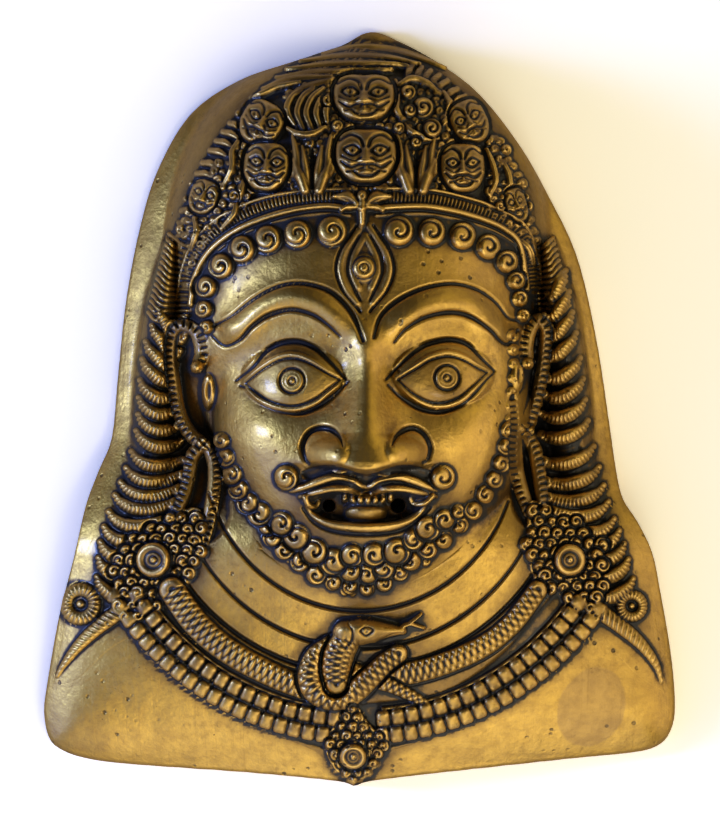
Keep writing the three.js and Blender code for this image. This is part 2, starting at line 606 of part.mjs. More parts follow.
// Two snakes for a necklace, their necks knotted in front
function snakes() {
  const LEFT_BODY = route(176, 588, 200, 628, 230, 652, 262, 672, 300, 686, 322, 690);
  const RIGHT_BODY = route(537, 592, 510, 625, 480, 648, 440, 665, 405, 673, 372, 674);
  const COIL = route(372, 674, 352, 694, 330, 702, 312, 690, 309, 668, 322, 655, 330, 640, 346, 630);
  const HEAD = route(340, 630, 362, 626, 384, 629, 402, 628);
  const TAIL = route(352, 664, 384, 682, 412, 697, 436, 711);
  const body = (t) => 4.2 - 0.6 * t;
  return [
    ridge(LEFT_BODY, 9, body, 4.2, FULL),
    ridge(RIGHT_BODY, 9, (t) => 3 + 0.6 * t, 4, FULL),
    ridge(COIL, 10, 3.5, 5.4, FULL),
    ridge(HEAD, 4, (t) => ramp(t, 3.4, 4.8, 4.4, 2.4, 1.4), 6, FULL),
    ridge(TAIL, 4, (t) => 2.8 - 1.6 * t, 4, FULL),
    ridge(route(398, 628, 412, 618), 1, 0.7, 4.6),
    ridge(route(398, 630, 414, 632), 1, 0.7, 4.6),
    boss(at(366, 631), 1.9, 1.9, 7.2, 6, STUD),
  ];
}
function pendant() {
  const LOBES = route(352, 722, 338, 740, 336, 760, 345, 774, 364, 773, 371, 757, 367, 739);
  return [
    boss(at(353, 754), 7.4, 9.6, 2.6, 8, STUD),
    boss(at(352, 757), 4.4, 4.4, 4.6, 8, RINGED),
    ...LOBES.map((p) => boss(p, 2.4, 2.4, 3.2, 5, STUD)),
  ];
}

// Solids are joined two by two, then the pairs, until one is left
function joined(solids) {
  if (solids.length === 1) return solids[0];
  const half = solids.length >> 1;
  return joined(solids.slice(0, half)).add(joined(solids.slice(half)));
}

// The casting: body and ornaments in one, less the hollow and the two holes in the mouth
function casting() {
  const inUse = (u, v) => nearest(u, v, RIM, true).gap < 4 || insideRim(u, v);
  const top = DEPTH * 1.5; // well over the highest ornament
  let body = reliefBlock(FORM, FINE, inUse).intersect(prism(RIM, 0, top));
  const ornaments = [
    headband(), foreheadCurls(), crown(), thirdEye(), eyes(), brows(), nose(), mouth(), beard(),
    ringlets(), ears(), shoulders(), collars(), garland(), snakes(), pendant(),
  ].flat();
  body = body.add(joined(ornaments));
  const hollow = reliefBlock(CORE, COARSE, insideRim).intersect(prism(inset, FLOOR / 2, top));
  body = body.subtract(hollow);
  for (const [place, bore] of [[at(329, 506), LEFT_BORE], [at(398, 506), RIGHT_BORE]]) {
    const drill = new THREE.CylinderGeometry(bore / 2, bore / 2, DEPTH, 12);
    drill.rotateX(Math.PI / 2);
    body = body.subtract(solid(drill, (x, y, z) => [x + place.x, y + place.y, z + DEPTH * 0.8]));
  }
  return body;
}
function insideRim(u, v) {
  let inside = false;
  for (let i = 0, j = RIM.length - 1; i < RIM.length; j = i, i += 1) {
    const [a, b] = [RIM[i], RIM[j]];
    if (a.y > v !== b.y > v && u < ((b.x - a.x) * (v - a.y)) / (b.y - a.y) + a.x) inside = !inside;
  }
  return inside;
}

// The one skin that holds the most facets, without the small voids shut in under ornaments
function mainSkin({ vertProperties, triVerts }) {
  const head = Array.from({ length: vertProperties.length / 3 }, (_, i) => i);
  const find = (i) => {
    while (head[i] !== i) {
      head[i] = head[head[i]];
      i = head[i];
    }
    return i;
  };
  for (let k = 0; k < triVerts.length; k += 3) {
    head[find(triVerts[k])] = find(triVerts[k + 1]);
    head[find(triVerts[k])] = find(triVerts[k + 2]);
  }
  const facets = new Map();
  for (let k = 0; k < triVerts.length; k += 3) {
    const skin = find(triVerts[k]);
    if (!facets.has(skin)) facets.set(skin, []);
    facets.get(skin).push(triVerts[k], triVerts[k + 1], triVerts[k + 2]);
  }
  const largest = [...facets.values()].sort((a, b) => b.length - a.length)[0];
  return { vertProperties, triVerts: largest };
}

// Facets are given up one edge at a time, where that bends the surface least
function thinned({ vertProperties, triVerts }, limit) {
  const count = vertProperties.length / 3;
  const places = Array.from({ length: count }, (_, i) => (
    new THREE.Vector3().fromArray(vertProperties, i * 3)
  ));
  const fans = places.map(() => new Set());
  const bends = places.map(() => new Float64Array(10));
  const faces = [];
  const across = (a, b, c) => b.clone().sub(a).cross(c.clone().sub(a));
  for (let k = 0; k < triVerts.length; k += 3) {
    const face = [triVerts[k], triVerts[k + 1], triVerts[k + 2]];
    const normal = across(...face.map((i) => places[i]));
    const area = normal.length();
    normal.normalize();
    const away = -normal.dot(places[face[0]]);
    const { x, y, z } = normal;
    const plane = [x * x, x * y, x * z, x * away, y * y, y * z, y * away, z * z, z * away, away * away];
    for (const i of face) {
      fans[i].add(faces.length);
      plane.forEach((value, q) => { bends[i][q] += value * area; });
    }
    faces.push(face);
  }
  const bent = (a, b, { x, y, z }) => {
    const q = bends[a].map((value, i) => value + bends[b][i]);
    return x * x * q[0] + 2 * x * y * q[1] + 2 * x * z * q[2] + 2 * x * q[3] + y * y * q[4]
      + 2 * y * z * q[5] + 2 * y * q[6] + z * z * q[7] + 2 * z * q[8] + q[9];
  };
  const age = new Uint32Array(count);
  const heap = [];
  const lift = (item) => {
    let i = heap.push(item) - 1;
    while (i > 0 && heap[(i - 1) >> 1].cost > heap[i].cost) {
      [heap[i], heap[(i - 1) >> 1]] = [heap[(i - 1) >> 1], heap[i]];
      i = (i - 1) >> 1;
    }
  };
  const lowest = () => {
    const item = heap[0];
    const last = heap.pop();
    if (heap.length > 0) {
      heap[0] = last;
      for (let i = 0; ;) {
        let next = 2 * i + 1;
        if (next + 1 < heap.length && heap[next + 1].cost < heap[next].cost) next += 1;
        if (next >= heap.length || heap[next].cost >= heap[i].cost) break;
        [heap[i], heap[next]] = [heap[next], heap[i]];
        i = next;
      }
    }
    return item;
  };
  const offer = (a, b) => {
    const length = places[a].distanceTo(places[b]);
    const choices = [places[a], places[b], places[a].clone().lerp(places[b], 0.5)];
    const costs = choices.map((p) => bent(a, b, p) + 1e-5 * length * length);
    const best = costs.indexOf(Math.min(...costs));
    lift({ cost: costs[best], a, b, to: choices[best].clone(), age: age[a] + age[b] });
  };
  const around = (i) => new Set([...fans[i]].flatMap((f) => faces[f]).filter((k) => k !== i));
  for (const [f, face] of faces.entries()) {
    for (let k = 0; k < 3; k += 1) {
      const [a, b] = [face[k], face[(k + 1) % 3]];
      if (a < b && fans[a].has(f)) offer(a, b);
    }
  }
  const turnsOver = (i, gone, to) => [...fans[i]].some((f) => {
    const face = faces[f];
    if (face.includes(gone)) return false;
    const before = across(...face.map((k) => places[k]));
    const after = across(...face.map((k) => (k === i ? to : places[k])));
    return after.dot(before) < 0.25 * after.length() * before.length() || after.length() < 1e-3;
  });
  let left = faces.length;
  while (left > limit && heap.length > 0) {
    const { a, b, to, age: offered } = lowest();
    if (fans[a].size === 0 || fans[b].size === 0 || age[a] + age[b] !== offered) continue;
    const beside = around(b);
    const shared = [...around(a)].filter((k) => beside.has(k));
    if (shared.length !== 2 || turnsOver(a, b, to) || turnsOver(b, a, to)) continue;
    for (const f of fans[b]) {
      if (fans[a].has(f)) {
        for (const k of faces[f]) if (k !== b) fans[k].delete(f);
        left -= 1;
      } else {
        faces[f] = faces[f].map((k) => (k === b ? a : k));
        fans[a].add(f);
      }
    }
    fans[b].clear();
    places[a].copy(to);
    bends[a].forEach((value, q) => { bends[a][q] = value + bends[b][q]; });
    age[a] += 1;
    for (const k of around(a)) {
      age[k] += 1;
      for (const n of around(k)) offer(k, n);
    }
  }
  const kept = faces.filter((face, f) => face.every((k) => fans[k].has(f)));
  const geometry = new THREE.BufferGeometry();
  geometry.setAttribute("position", new THREE.Float32BufferAttribute(places.flatMap((p) => p.toArray()), 3));
  geometry.setIndex(kept.flat());
  return mergeVertices(geometry.toNonIndexed(), 1e-4);
}

const brass = new THREE.MeshStandardMaterial({ color: 0x9a7330, roughness: 0.38, metalness: 1 });
const box = new THREE.Box2().setFromPoints(RIM.map((p) => new THREE.Vector2(p.x, p.y)));
const middle = box.getCenter(new THREE.Vector2());
const mask = new THREE.Mesh(thinned(mainSkin(casting().getMesh()), FACETS), brass);
mask.geometry.translate(-middle.x, -middle.y, 0);
mask.name = "mask";

const model = new THREE.Group();
model.add(mask);
export default model;
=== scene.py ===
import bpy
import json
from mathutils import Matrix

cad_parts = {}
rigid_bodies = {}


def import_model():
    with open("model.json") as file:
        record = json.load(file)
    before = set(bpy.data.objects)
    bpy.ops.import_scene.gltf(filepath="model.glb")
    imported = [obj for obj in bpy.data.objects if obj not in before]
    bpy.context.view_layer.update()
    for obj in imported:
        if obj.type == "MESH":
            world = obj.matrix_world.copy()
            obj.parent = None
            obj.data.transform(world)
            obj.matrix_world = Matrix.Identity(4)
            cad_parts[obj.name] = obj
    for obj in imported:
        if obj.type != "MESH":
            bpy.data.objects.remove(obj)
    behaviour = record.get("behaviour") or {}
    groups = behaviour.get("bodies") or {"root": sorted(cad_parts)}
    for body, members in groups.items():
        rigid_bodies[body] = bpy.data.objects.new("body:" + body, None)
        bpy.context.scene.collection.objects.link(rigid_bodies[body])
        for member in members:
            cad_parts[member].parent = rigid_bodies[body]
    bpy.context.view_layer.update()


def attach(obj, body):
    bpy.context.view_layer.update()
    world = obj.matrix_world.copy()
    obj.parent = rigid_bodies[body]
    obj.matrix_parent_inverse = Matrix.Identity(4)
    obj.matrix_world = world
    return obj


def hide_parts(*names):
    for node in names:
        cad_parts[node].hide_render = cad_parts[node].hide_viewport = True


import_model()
# %% [markdown]
# # Brass wall mask
#
# The looks of one cast brass mask: a wrathful three-eyed face under a crown of small heads, with
# ringlets, beard, a snake collar and a bead garland. The real one is cast in one piece from a wax
# model, hollow behind, then chased, darkened and rubbed bright. It lies on its back, face up, with
# the top of its head towards +Y. Lengths in formulas are millimetres, in the scene metres.

# %% Plain model's box
import json
import math
import bmesh
import bpy
import numpy as np
from mathutils import Vector


# %% [markdown]
# ## The sheet that the carving is drawn on
#
# A caster starts from a drawing at full size. Here the drawing is a sheet whose unit is about a
# third of a millimetre, and two tables lie over it: FORM holds the height of the plain body and
# CARVED holds what the chisel adds or takes away, measured square to the body. Every line, curl
# and bead is painted into CARVED by a small formula, and the meshes read the two tables later.
# Modelling each ornament as a mesh of its own would work too, but a cast relief has no gaps
# under its ornaments, and tables give soft feet and joints everywhere for free.

# %% Sheet, sizes and tables
TALL = 250.0          # millimetres, pendant tip to peak
DRAFT_APEX = 700.0    # every side leans to a point this far over the rim
RIM_THICK = 3.5       # how high the rim's outer side stands
WALL = 3.5            # metal between the front and the hollow
RIM_WIDE = 4.0        # flat band that the mask rests on
UNIT = TALL / 754     # millimetres in one unit of the sheet
MIDDLE = (360.0, 409.0)  # the place that every side leans to
SHEET = (720, 824)    # units across and down
PER = 2               # cells of CARVED in one unit
CARVED = np.zeros((SHEET[1] * PER, SHEET[0] * PER))
ROWS, COLUMNS = np.mgrid[0:SHEET[1], 0:SHEET[0]].astype(float)


def spline(points, per=6, closed=False):
    """Points on a smooth curve through the given ones."""
    p = np.array(points, float)
    if closed:
        p = np.vstack([p[-1], p, p[0], p[1]])
    else:
        p = np.vstack([2 * p[0] - p[1], p, 2 * p[-1] - p[-2]])
    made = []
    for a, b, c, d in zip(p, p[1:], p[2:], p[3:]):
        for t in np.arange(per) / per:
            made.append(0.5 * (2 * b + (c - a) * t + (2 * a - 5 * b + 4 * c - d) * t * t
                               + (3 * b - a - 3 * c + d) * t ** 3))
    if not closed:
        made.append(p[-2])
    return np.array(made)


def nearest(x, y, line, closed=False):
    """Distance to a line of points, and the share of it passed at the nearest place."""
    ends = np.roll(line, -1, 0) if closed else line[1:]
    starts = line if closed else line[:-1]
    best = np.full(x.shape, np.inf)
    where = np.zeros(x.shape)
    for i, (a, b) in enumerate(zip(starts, ends)):
        d = b - a
        t = np.clip(((x - a[0]) * d[0] + (y - a[1]) * d[1]) / (d @ d), 0, 1)
        gap = (x - a[0] - t * d[0]) ** 2 + (y - a[1] - t * d[1]) ** 2
        closer = gap < best
        best = np.where(closer, gap, best)
        where = np.where(closer, (i + t) / len(starts), where)
    return np.sqrt(best), where


def smooth(low, high, x):
    """Rises softly from 0 to 1 as x goes from low to high."""
    t = np.clip((x - low) / (high - low), 0, 1)
    return t * t * (3 - 2 * t)


def oval(x, y, rx, ry, power=2.0):
    """1 on an oval's edge, less inside; a high power makes it nearly square."""
    return (np.abs(x / rx) ** power + np.abs(y / ry) ** power) ** (1 / power)


def blend(a, b, around):
    """The higher of two heights, with a soft joint."""
    return (a + b + np.hypot(a - b, around)) / 2


def dome(q, rise, power):
    """High where q is 0, level at 1 and falling on beyond it."""
    return rise * np.sign(1 - q) * np.abs(1 - q) ** power


def swell(q, rise, power):
    """The same, but nothing beyond 1."""
    return rise * np.clip(1 - q, 0, None) ** power


def hill(q):
    return np.exp(-q * q)


def ramp(t, *values):
    """Reads evenly spaced values at a share from 0 to 1."""
    return np.interp(t, np.linspace(0, 1, len(values)), values)


# %% [markdown]
# ## The plain body
#
# Under its ornaments the mask is a few smooth forms melted together: a flange that swells from
# the rim, a chest, a neck, the bowl of the crown, a roll of hair down each side, and the face
# with brows, eyeballs, nose, cheeks and mouth. Each is a short formula of the distance to a
# point or a line, and `blend` takes the higher of two with a soft joint, as wax would.

# %% The outline and the lines the large forms follow
RIM = spline([
    (370, 32), (340, 46.5), (292, 62), (238, 81), (190, 115), (157, 172), (139, 232), (126, 302),
    (118, 377), (112, 437), (99, 470), (86, 505), (74, 557), (59, 617), (47, 685), (44, 712),
    (49, 738), (62, 750), (85, 758), (125, 763.5), (245, 772), (337, 781), (354, 786),
    (371, 781), (445, 772), (565, 759), (632, 752.5), (657, 746), (670, 732), (675, 707),
    (671, 655), (660, 590), (652, 552), (637, 521), (623, 499), (616, 470), (608, 415),
    (596, 338), (577, 257), (549, 197), (520, 146), (480, 95), (440, 64), (400, 42),
], 4, closed=True)
HAIR_ROLLS = [
    [(170, 246), (164, 300), (159, 350), (157, 400), (154, 450), (143, 500), (121, 548), (108, 592)],
    [(548, 246), (557, 300), (563, 350), (567, 400), (570, 450), (581, 500), (603, 545), (615, 590)],
]
BROW_ROLLS = [
    [(216, 331), (238, 327), (263, 306), (292, 298), (322, 306), (344, 324), (355, 345)],
    [(514, 331), (494, 328), (474, 306), (448, 301), (420, 308), (397, 325), (382, 345)],
]
EAR_STRANDS = [  # line, and how high the body stands under it
    ([(198, 366), (202, 352), (197, 334), (185, 326), (175, 330), (171, 344), (171, 364), (174, 386),
      (177, 406), (183, 423), (193, 437), (204, 444)],
     (33, 32, 31, 30, 27.5, 25, 23.5, 22.5, 22, 22, 22.5, 23)),
    ([(203, 444), (192, 458), (188, 480), (182, 500), (175, 516)], (23, 23.5, 24.5, 26.5, 27)),
    ([(205, 443), (214, 460), (215, 482), (211, 508), (206, 530), (200, 546)], (23, 25.5, 28, 29.5, 29, 27)),
    ([(527, 362), (526, 346), (530, 330), (538, 320), (546, 330), (545, 352), (541, 380), (535, 404),
      (527, 428)], (30, 30, 29.5, 28.5, 27, 24.5, 23, 22.5, 23)),
    ([(515, 400), (517, 424), (515, 446), (516, 468), (521, 490), (530, 512)],
     (29, 25, 24.5, 26.5, 28, 27.5)),
    ([(527, 430), (536, 456), (540, 480), (542, 498)], (23, 24, 25, 26)),
]
NOSE_RIDGE = [(367, 335), (367, 380), (367, 420), (366, 462)]

# %% Middles of the large forms
CHEST, NECK, CROWN, FACE = (360, 592), (360, 440), (357, 300), (371, 397)
NOSE_TIP, MOUTH, TONGUE, CHIN = (367, 459), (365, 507), (366, 511), (360, 562)
EYEBALLS, NOSE_WINGS, CHEEKS = [(292, 378), (443, 375)], [(325, 450), (410, 448)], [(258, 430), (478, 424)]


def form(x, y):
    """Height of the plain body over the rim plane, in millimetres, at places on the sheet."""
    def off(px, py):
        return (x - px) * UNIT, (py - y) * UNIT
    up = off(*MIDDLE)[1]
    edge = nearest(x, y, RIM, closed=True)[0] * UNIT
    h = 9.5 * (1 - np.exp(-edge / 8))
    h = h + 17 * np.exp(-oval(*off(*CHEST), 92, 50, 2.2) ** 3.2)
    h = blend(h, 23.5 + 38 * (1 - oval(*off(*NECK), 74, 78)) - 34 * smooth(-50, 10, up), 5)
    crown = 2.5 + dome(oval(*off(*CROWN), 65, 82.5, 2.5) ** 2.3, 53, 0.62)
    low = smooth(-25, 25, up)
    h = blend(h, crown * low + np.minimum(crown, 13) * (1 - low), 4)
    for roll in HAIR_ROLLS:
        gap, along = nearest(x, y, spline(roll))
        q = (gap * UNIT / ramp(along, 3, 6.5, 7.5, 8.5, 9, 9, 7, 5)) ** 2
        h = blend(h, dome(q, ramp(along, 26, 29.5, 27.5, 25.5, 24, 22, 19, 15), 0.5) - 3.5, 1.5)
    for roll, heights in EAR_STRANDS:
        gap, along = nearest(x, y, spline(roll, 4))
        h = blend(h, dome((gap * UNIT / 2.5) ** 2, 4, 0.5) + ramp(along, *heights) - 4, 0.8)
    fx, fy = off(*FACE)
    narrow = 1 - 0.16 * smooth(10, 60, -up)
    h = blend(h, 18.5 + dome(oval(fx / narrow, fy, 52.6, 65, 2.35) ** 2.35, 40, 0.5), 2.5)
    for place in EYEBALLS:
        ex, ey = off(*place)
        h = h - 5.5 * hill(np.hypot(ex / 20, ey / 13)) + swell(oval(ex, ey, 17, 11) ** 2, 7, 0.65)
    for roll in BROW_ROLLS:
        gap, along = nearest(x, y, spline(roll))
        ends = smooth(0, 0.12, along) * (1 - 0.6 * smooth(0.75, 1, along))
        h = h + 3.2 * hill(gap * UNIT / 4.6) * ends
    gap, along = nearest(x, y, spline(NOSE_RIDGE))
    under = smooth(-20.6, -18.0, up + 2.6 * hill(off(*NOSE_TIP)[0] / 9) - 0.6)
    h = h + (3.4 + 11.3 * along ** 1.2) * hill(gap * UNIT / (4.8 + 8.5 * along ** 1.5)) * under
    off_ridge = 1 - hill(gap * UNIT / 7.5)
    h = h + swell(oval(*off(*NOSE_TIP), 20.5, 8.4, 2.6) ** 2, 4.6, 0.8) * under * off_ridge
    for place in NOSE_WINGS:
        h = h + swell(oval(*off(*place), 8.4, 7.2) ** 2, 4.2, 1.0) * under
    for place in CHEEKS:
        h = h + 2.5 * hill(oval(*off(*place), 15, 14))
    mx, my = off(*MOUTH)
    h = h + 3 * hill(oval(mx, my - 3, 26, 13))
    h = h - 6.5 * (1 - smooth(0.75, 1.12, oval(mx, my, 18.5, 6.5, 2.2)))
    h = h + swell(oval(*off(*TONGUE), 7.5, 4.6) ** 2, 4.5, 0.6)
    h = h + 3.5 * hill(oval(*off(*CHIN), 24, 9))
    return RIM_THICK + h


FORM = form(COLUMNS, ROWS)
print("body: highest point", round(float(FORM.max()), 1), "mm")


# %% [markdown]
# ## Chisels
#
# A carver has a few tools: a round gouge that leaves a groove, and punches for knobs, rings and
# curls. `near` finds how far each cell of the table is from a line, and only looks at cells close
# by. `raised` and `cut` are the two hands: one lets metal stand up to a height, whichever
# ornament is higher wins, and the other takes some away.

# %% Raising and cutting
def window(x0, y0, x1, y1):
    """The cells between two corners of the sheet, and their places."""
    rows = slice(max(int(y0 * PER), 0), min(int(y1 * PER) + 2, CARVED.shape[0]))
    cols = slice(max(int(x0 * PER), 0), min(int(x1 * PER) + 2, CARVED.shape[1]))
    y, x = np.mgrid[rows, cols] / PER
    return (rows, cols), x, y


def near(points, reach, per=6):
    """Gap to a curve, length passed along it and which side, for the cells within reach."""
    line = spline(points, per)
    low, high = line.min(0) - reach, line.max(0) + reach
    part, x, y = window(*low, *high)
    gap = np.full(x.shape, 4.0 * reach)
    along = np.zeros(x.shape)
    side = np.ones(x.shape)
    passed = 0.0
    for a, b in zip(line, line[1:]):
        d = b - a
        length = math.hypot(*d)
        c0, r0 = (np.minimum(a, b) - reach - (x[0, 0], y[0, 0])) * PER
        c1, r1 = (np.maximum(a, b) + reach - (x[0, 0], y[0, 0])) * PER
        box = (slice(max(int(r0), 0), int(r1) + 2), slice(max(int(c0), 0), int(c1) + 2))
        px, py = x[box] - a[0], y[box] - a[1]
        t = np.clip((px * d[0] + py * d[1]) / length ** 2, 0, 1)
        dist = np.hypot(px - t * d[0], py - t * d[1])
        closer = dist < gap[box]
        gap[box] = np.where(closer, dist, gap[box])
        along[box] = np.where(closer, passed + t * length, along[box])
        side[box] = np.where(closer, np.where(px * d[1] - py * d[0] > 0, 1, -1), side[box])
        passed += length
    return part, gap, along, side, passed


def raised(part, where, height):
    """Lets metal stand up to a height, where nothing higher stands already."""
    CARVED[part] = np.where(where, np.maximum(CARVED[part], height), CARVED[part])


def cut(part, depth):
    CARVED[part] = CARVED[part] - depth


def stamped(part, q, height, moat=1.14, sunk_to=0.2):
    """Sets an ornament over what is there, with a narrow moat round it, as scales overlap."""
    ring = (q >= 1) & (q < moat)
    CARVED[part] = np.where(q < 1, height, np.where(ring, np.minimum(CARVED[part], sunk_to), CARVED[part]))


# %% Lines
def size_at(size, t):
    """A size that is one number, or changes along a line."""
    return ramp(t, *size) if isinstance(size, (tuple, list)) else size


def strip(points, half, wider):
    """Where a line of this half width lies: the cells, share passed, and gap over half width."""
    widest = max(half) if isinstance(half, (tuple, list)) else half
    part, gap, along, side, length = near(points, widest * wider + 1)
    t = along / length
    return part, t, gap / np.maximum(size_at(half, t), 0.3), along, side * gap


def ridge(points, half, rise, ticks=0.0, pitch=4.0, slant=0.0, roundness=0.5, foot=0.0):
    """A raised line; `half` and `rise` may change along it, and ticks notch it crosswise."""
    part, t, q, along, aside = strip(points, half, 1)
    height = size_at(rise, t) * np.clip(1 - q * q, 0, None) ** roundness
    if ticks:
        wave = np.cos(2 * math.pi * (along + slant * aside) / pitch)
        height = height * (1 - ticks * (0.5 + 0.5 * wave))
    raised(part, q < 1, height + foot)


RUN_OUT = 1.25  # how far past its half width a cut runs out


def groove(points, half, depth):
    """A cut line, round in section, with soft edges."""
    part, t, q, _, _ = strip(points, half, RUN_OUT)
    cut(part, size_at(depth, t) * np.clip(1 - (q / RUN_OUT) ** 2, 0, None) ** 1.6)


def circle(x, y, r):
    """Points once round, and a little past the start."""
    return [(x + r * math.cos(a / 3), y + r * math.sin(a / 3)) for a in range(20)]


# %% Punches
def about(x, y, reach):
    """The cells round a point and their places from it."""
    part, px, py = window(x - reach, y - reach, x + reach, y + reach)
    return part, px - x, py - y


def turned(x, y, turn):
    """Places along and across a direction."""
    c, s = math.cos(turn), math.sin(turn)
    return x * c + y * s, y * c - x * s


def knob(x, y, rx, ry, rise, turn=0.0, power=0.5, square=2.0):
    """A raised boss, round, oval or, with a high power of `square`, nearly square."""
    part, dx, dy = about(x, y, max(rx, ry) * 1.3 + 1)
    q = oval(*turned(dx, dy, turn), rx, ry, square)
    raised(part, q < 1, rise * np.clip(1 - q ** 2, 0, None) ** power)


def curl(x, y, r, rise, turns=1.4, hand=1, start=0.0, depth=0.45, moat=1.14):
    """A snail of hair: a cushion with a spiral line cut in, running in to its middle."""
    part, dx, dy = about(x, y, r * moat + 1)
    q = np.hypot(dx, dy) / r
    angle = np.arctan2(dy, dx) * hand / (2 * math.pi)
    phase = (q * turns - angle + start) % 1
    line = np.exp(-(np.minimum(phase, 1 - phase) * r / turns / 1.15) ** 2) * smooth(1.02, 0.86, q)
    height = rise * np.clip(1 - q ** 3, 0, None) ** 0.42 * (1 - depth * line)
    stamped(part, q, height, moat)


def rings(x, y, r, rise, *profile):
    """A turned boss; the profile gives its height from the middle out, as shares of the rise."""
    part, dx, dy = about(x, y, r + 1)
    q = np.hypot(dx, dy) / r
    raised(part, q < 1, rise * ramp(q, *profile))


BOSS_RISE = 4.6


def boss(x, y, r, moat, button, rise, *profile):
    """A turned boss set over a plaque, with a button in its middle."""
    part, dx, dy = about(x, y, r + 4)
    q = np.hypot(dx, dy) / r
    stamped(part, q, BOSS_RISE * ramp(q, *profile), moat, 0.4)
    rings(x, y, button, rise, 0.7, 1.0, 1.0, 0.6)


def dent(x, y, rx, ry, depth):
    """A small oval hollow."""
    part, dx, dy = about(x, y, max(rx, ry) + 1)
    q = oval(dx, dy, rx, ry)
    cut(part, depth * np.clip(1 - q ** 2, 0, None) ** 0.7)


# %% Plaques and sunk grounds
def inside(x, y, line):
    """Which places lie inside a closed line: a ray from there crosses it an odd number of times."""
    odd = np.zeros(x.shape, bool)
    for a, b in zip(line, np.roll(line, -1, 0)):
        if a[1] != b[1]:
            crossing = (a[1] > y) != (b[1] > y)
            odd ^= crossing & (x < (b[0] - a[0]) * (y - a[1]) / (b[1] - a[1]) + a[0])
    return odd


def field(corners):
    """A closed curve, the cells round it and which of them lie inside."""
    line = spline(corners, 6, closed=True)
    part, x, y = window(*(line.min(0) - 1), *(line.max(0) + 1))
    return line, part, x, y, inside(x, y, line)


def sunk(corners, depth, slope):
    """Lowers everything inside a closed line, with a slope at its edge."""
    line, part, x, y, within = field(corners)
    gap, _ = nearest(x[::4, ::4], y[::4, ::4], line, closed=True)
    gap = np.repeat(np.repeat(gap, 4, 0), 4, 1)[:x.shape[0], :x.shape[1]]
    cut(part, np.where(within, depth * smooth(0, slope, gap), 0))


def foliage(corners, pitch, r, rise, low, seed):
    """Leafy ground: a low plaque filled with small scrolls that turn both ways."""
    line, part, _, _, within = field(corners)
    raised(part, within, low)
    chance = np.random.default_rng(seed)
    rows = np.arange(line[:, 1].min(), line[:, 1].max(), pitch * 0.86)
    for k, y in enumerate(rows):
        for x in np.arange(line[:, 0].min() + (k % 2) * pitch / 2, line[:, 0].max(), pitch):
            dx, dy, size, start = chance.uniform((-1.2, -1.2, 0.85, 0), (1.2, 1.2, 1.15, 1))
            if inside(np.array([x + dx]), np.array([y + dy]), line)[0]:
                curl(x + dx, y + dy, r * size, rise * size, 1.15, 1 if chance.random() < 0.5 else -1,
                     start, 0.6, 1.2)


# %% [markdown]
# ## Ground for the ornaments
#
# Where ornaments crowd together the caster sinks the ground between them, so that they stand
# free and the patina can settle there. `sunk` lowers everything inside a closed line, with a
# slope at its edge.

# %% Sunk grounds
CROWN_GROUND = [
    (183, 262), (176, 226), (190, 180), (214, 136), (250, 98), (300, 66), (350, 50), (400, 54),
    (446, 74), (486, 118), (514, 168), (534, 226), (541, 270), (528, 232), (480, 203), (420, 189),
    (362, 186), (300, 192), (240, 212), (204, 236),
]
LEFT_HAIR_GROUND = [
    (184, 262), (168, 300), (157, 350), (147, 400), (143, 445), (128, 500), (110, 560), (106, 596),
    (122, 604), (168, 520), (205, 545), (232, 520), (226, 470), (208, 410), (206, 330), (186, 300),
]
RIGHT_HAIR_GROUND = [
    (540, 262), (552, 300), (566, 350), (576, 410), (588, 460), (604, 510), (620, 560), (627, 596),
    (606, 604), (560, 514), (530, 530), (508, 505), (514, 450), (524, 400), (530, 330), (534, 290),
]
for corners in (CROWN_GROUND, LEFT_HAIR_GROUND, RIGHT_HAIR_GROUND):
    sunk(corners, 1.3, 7)


# %% [markdown]
# ## The crown of small heads
#
# Eight small heads sit on the crown, the middle two largest. One formula carves them all: a
# domed oval, two sockets with an almond eye and a drilled pupil, brows, a wedge of a nose, a
# moustache, and a mouth over a chin. Between the heads stand open hands and tongues of flame,
# and combed hair runs over the top.

# %% Small heads
SMALL_CUTS = [  # line on one side of a head, half width, depth: brow, lids, cheek, moustache, lip
    ([(0.08, -0.36), (0.2, -0.64), (0.5, -0.78), (0.86, -0.56)], 1.9, 1.3),
    ([(0.18, -0.22), (0.42, -0.4), (0.72, -0.28)], 1.5, 1.0),
    ([(0.18, -0.18), (0.44, -0.02), (0.72, -0.22)], 1.5, 1.0),
    ([(0.16, 0.06), (0.4, 0.18), (0.78, 0.0)], 1.5, 0.9),
    ([(0.04, 0.3), (0.24, 0.3), (0.5, 0.4), (0.8, 0.2)], (1.2, 2.0, 2.2, 1.2), 1.3),
    ([(0.08, 0.42), (0.3, 0.48), (0.62, 0.56)], 1.5, 1.0),
]


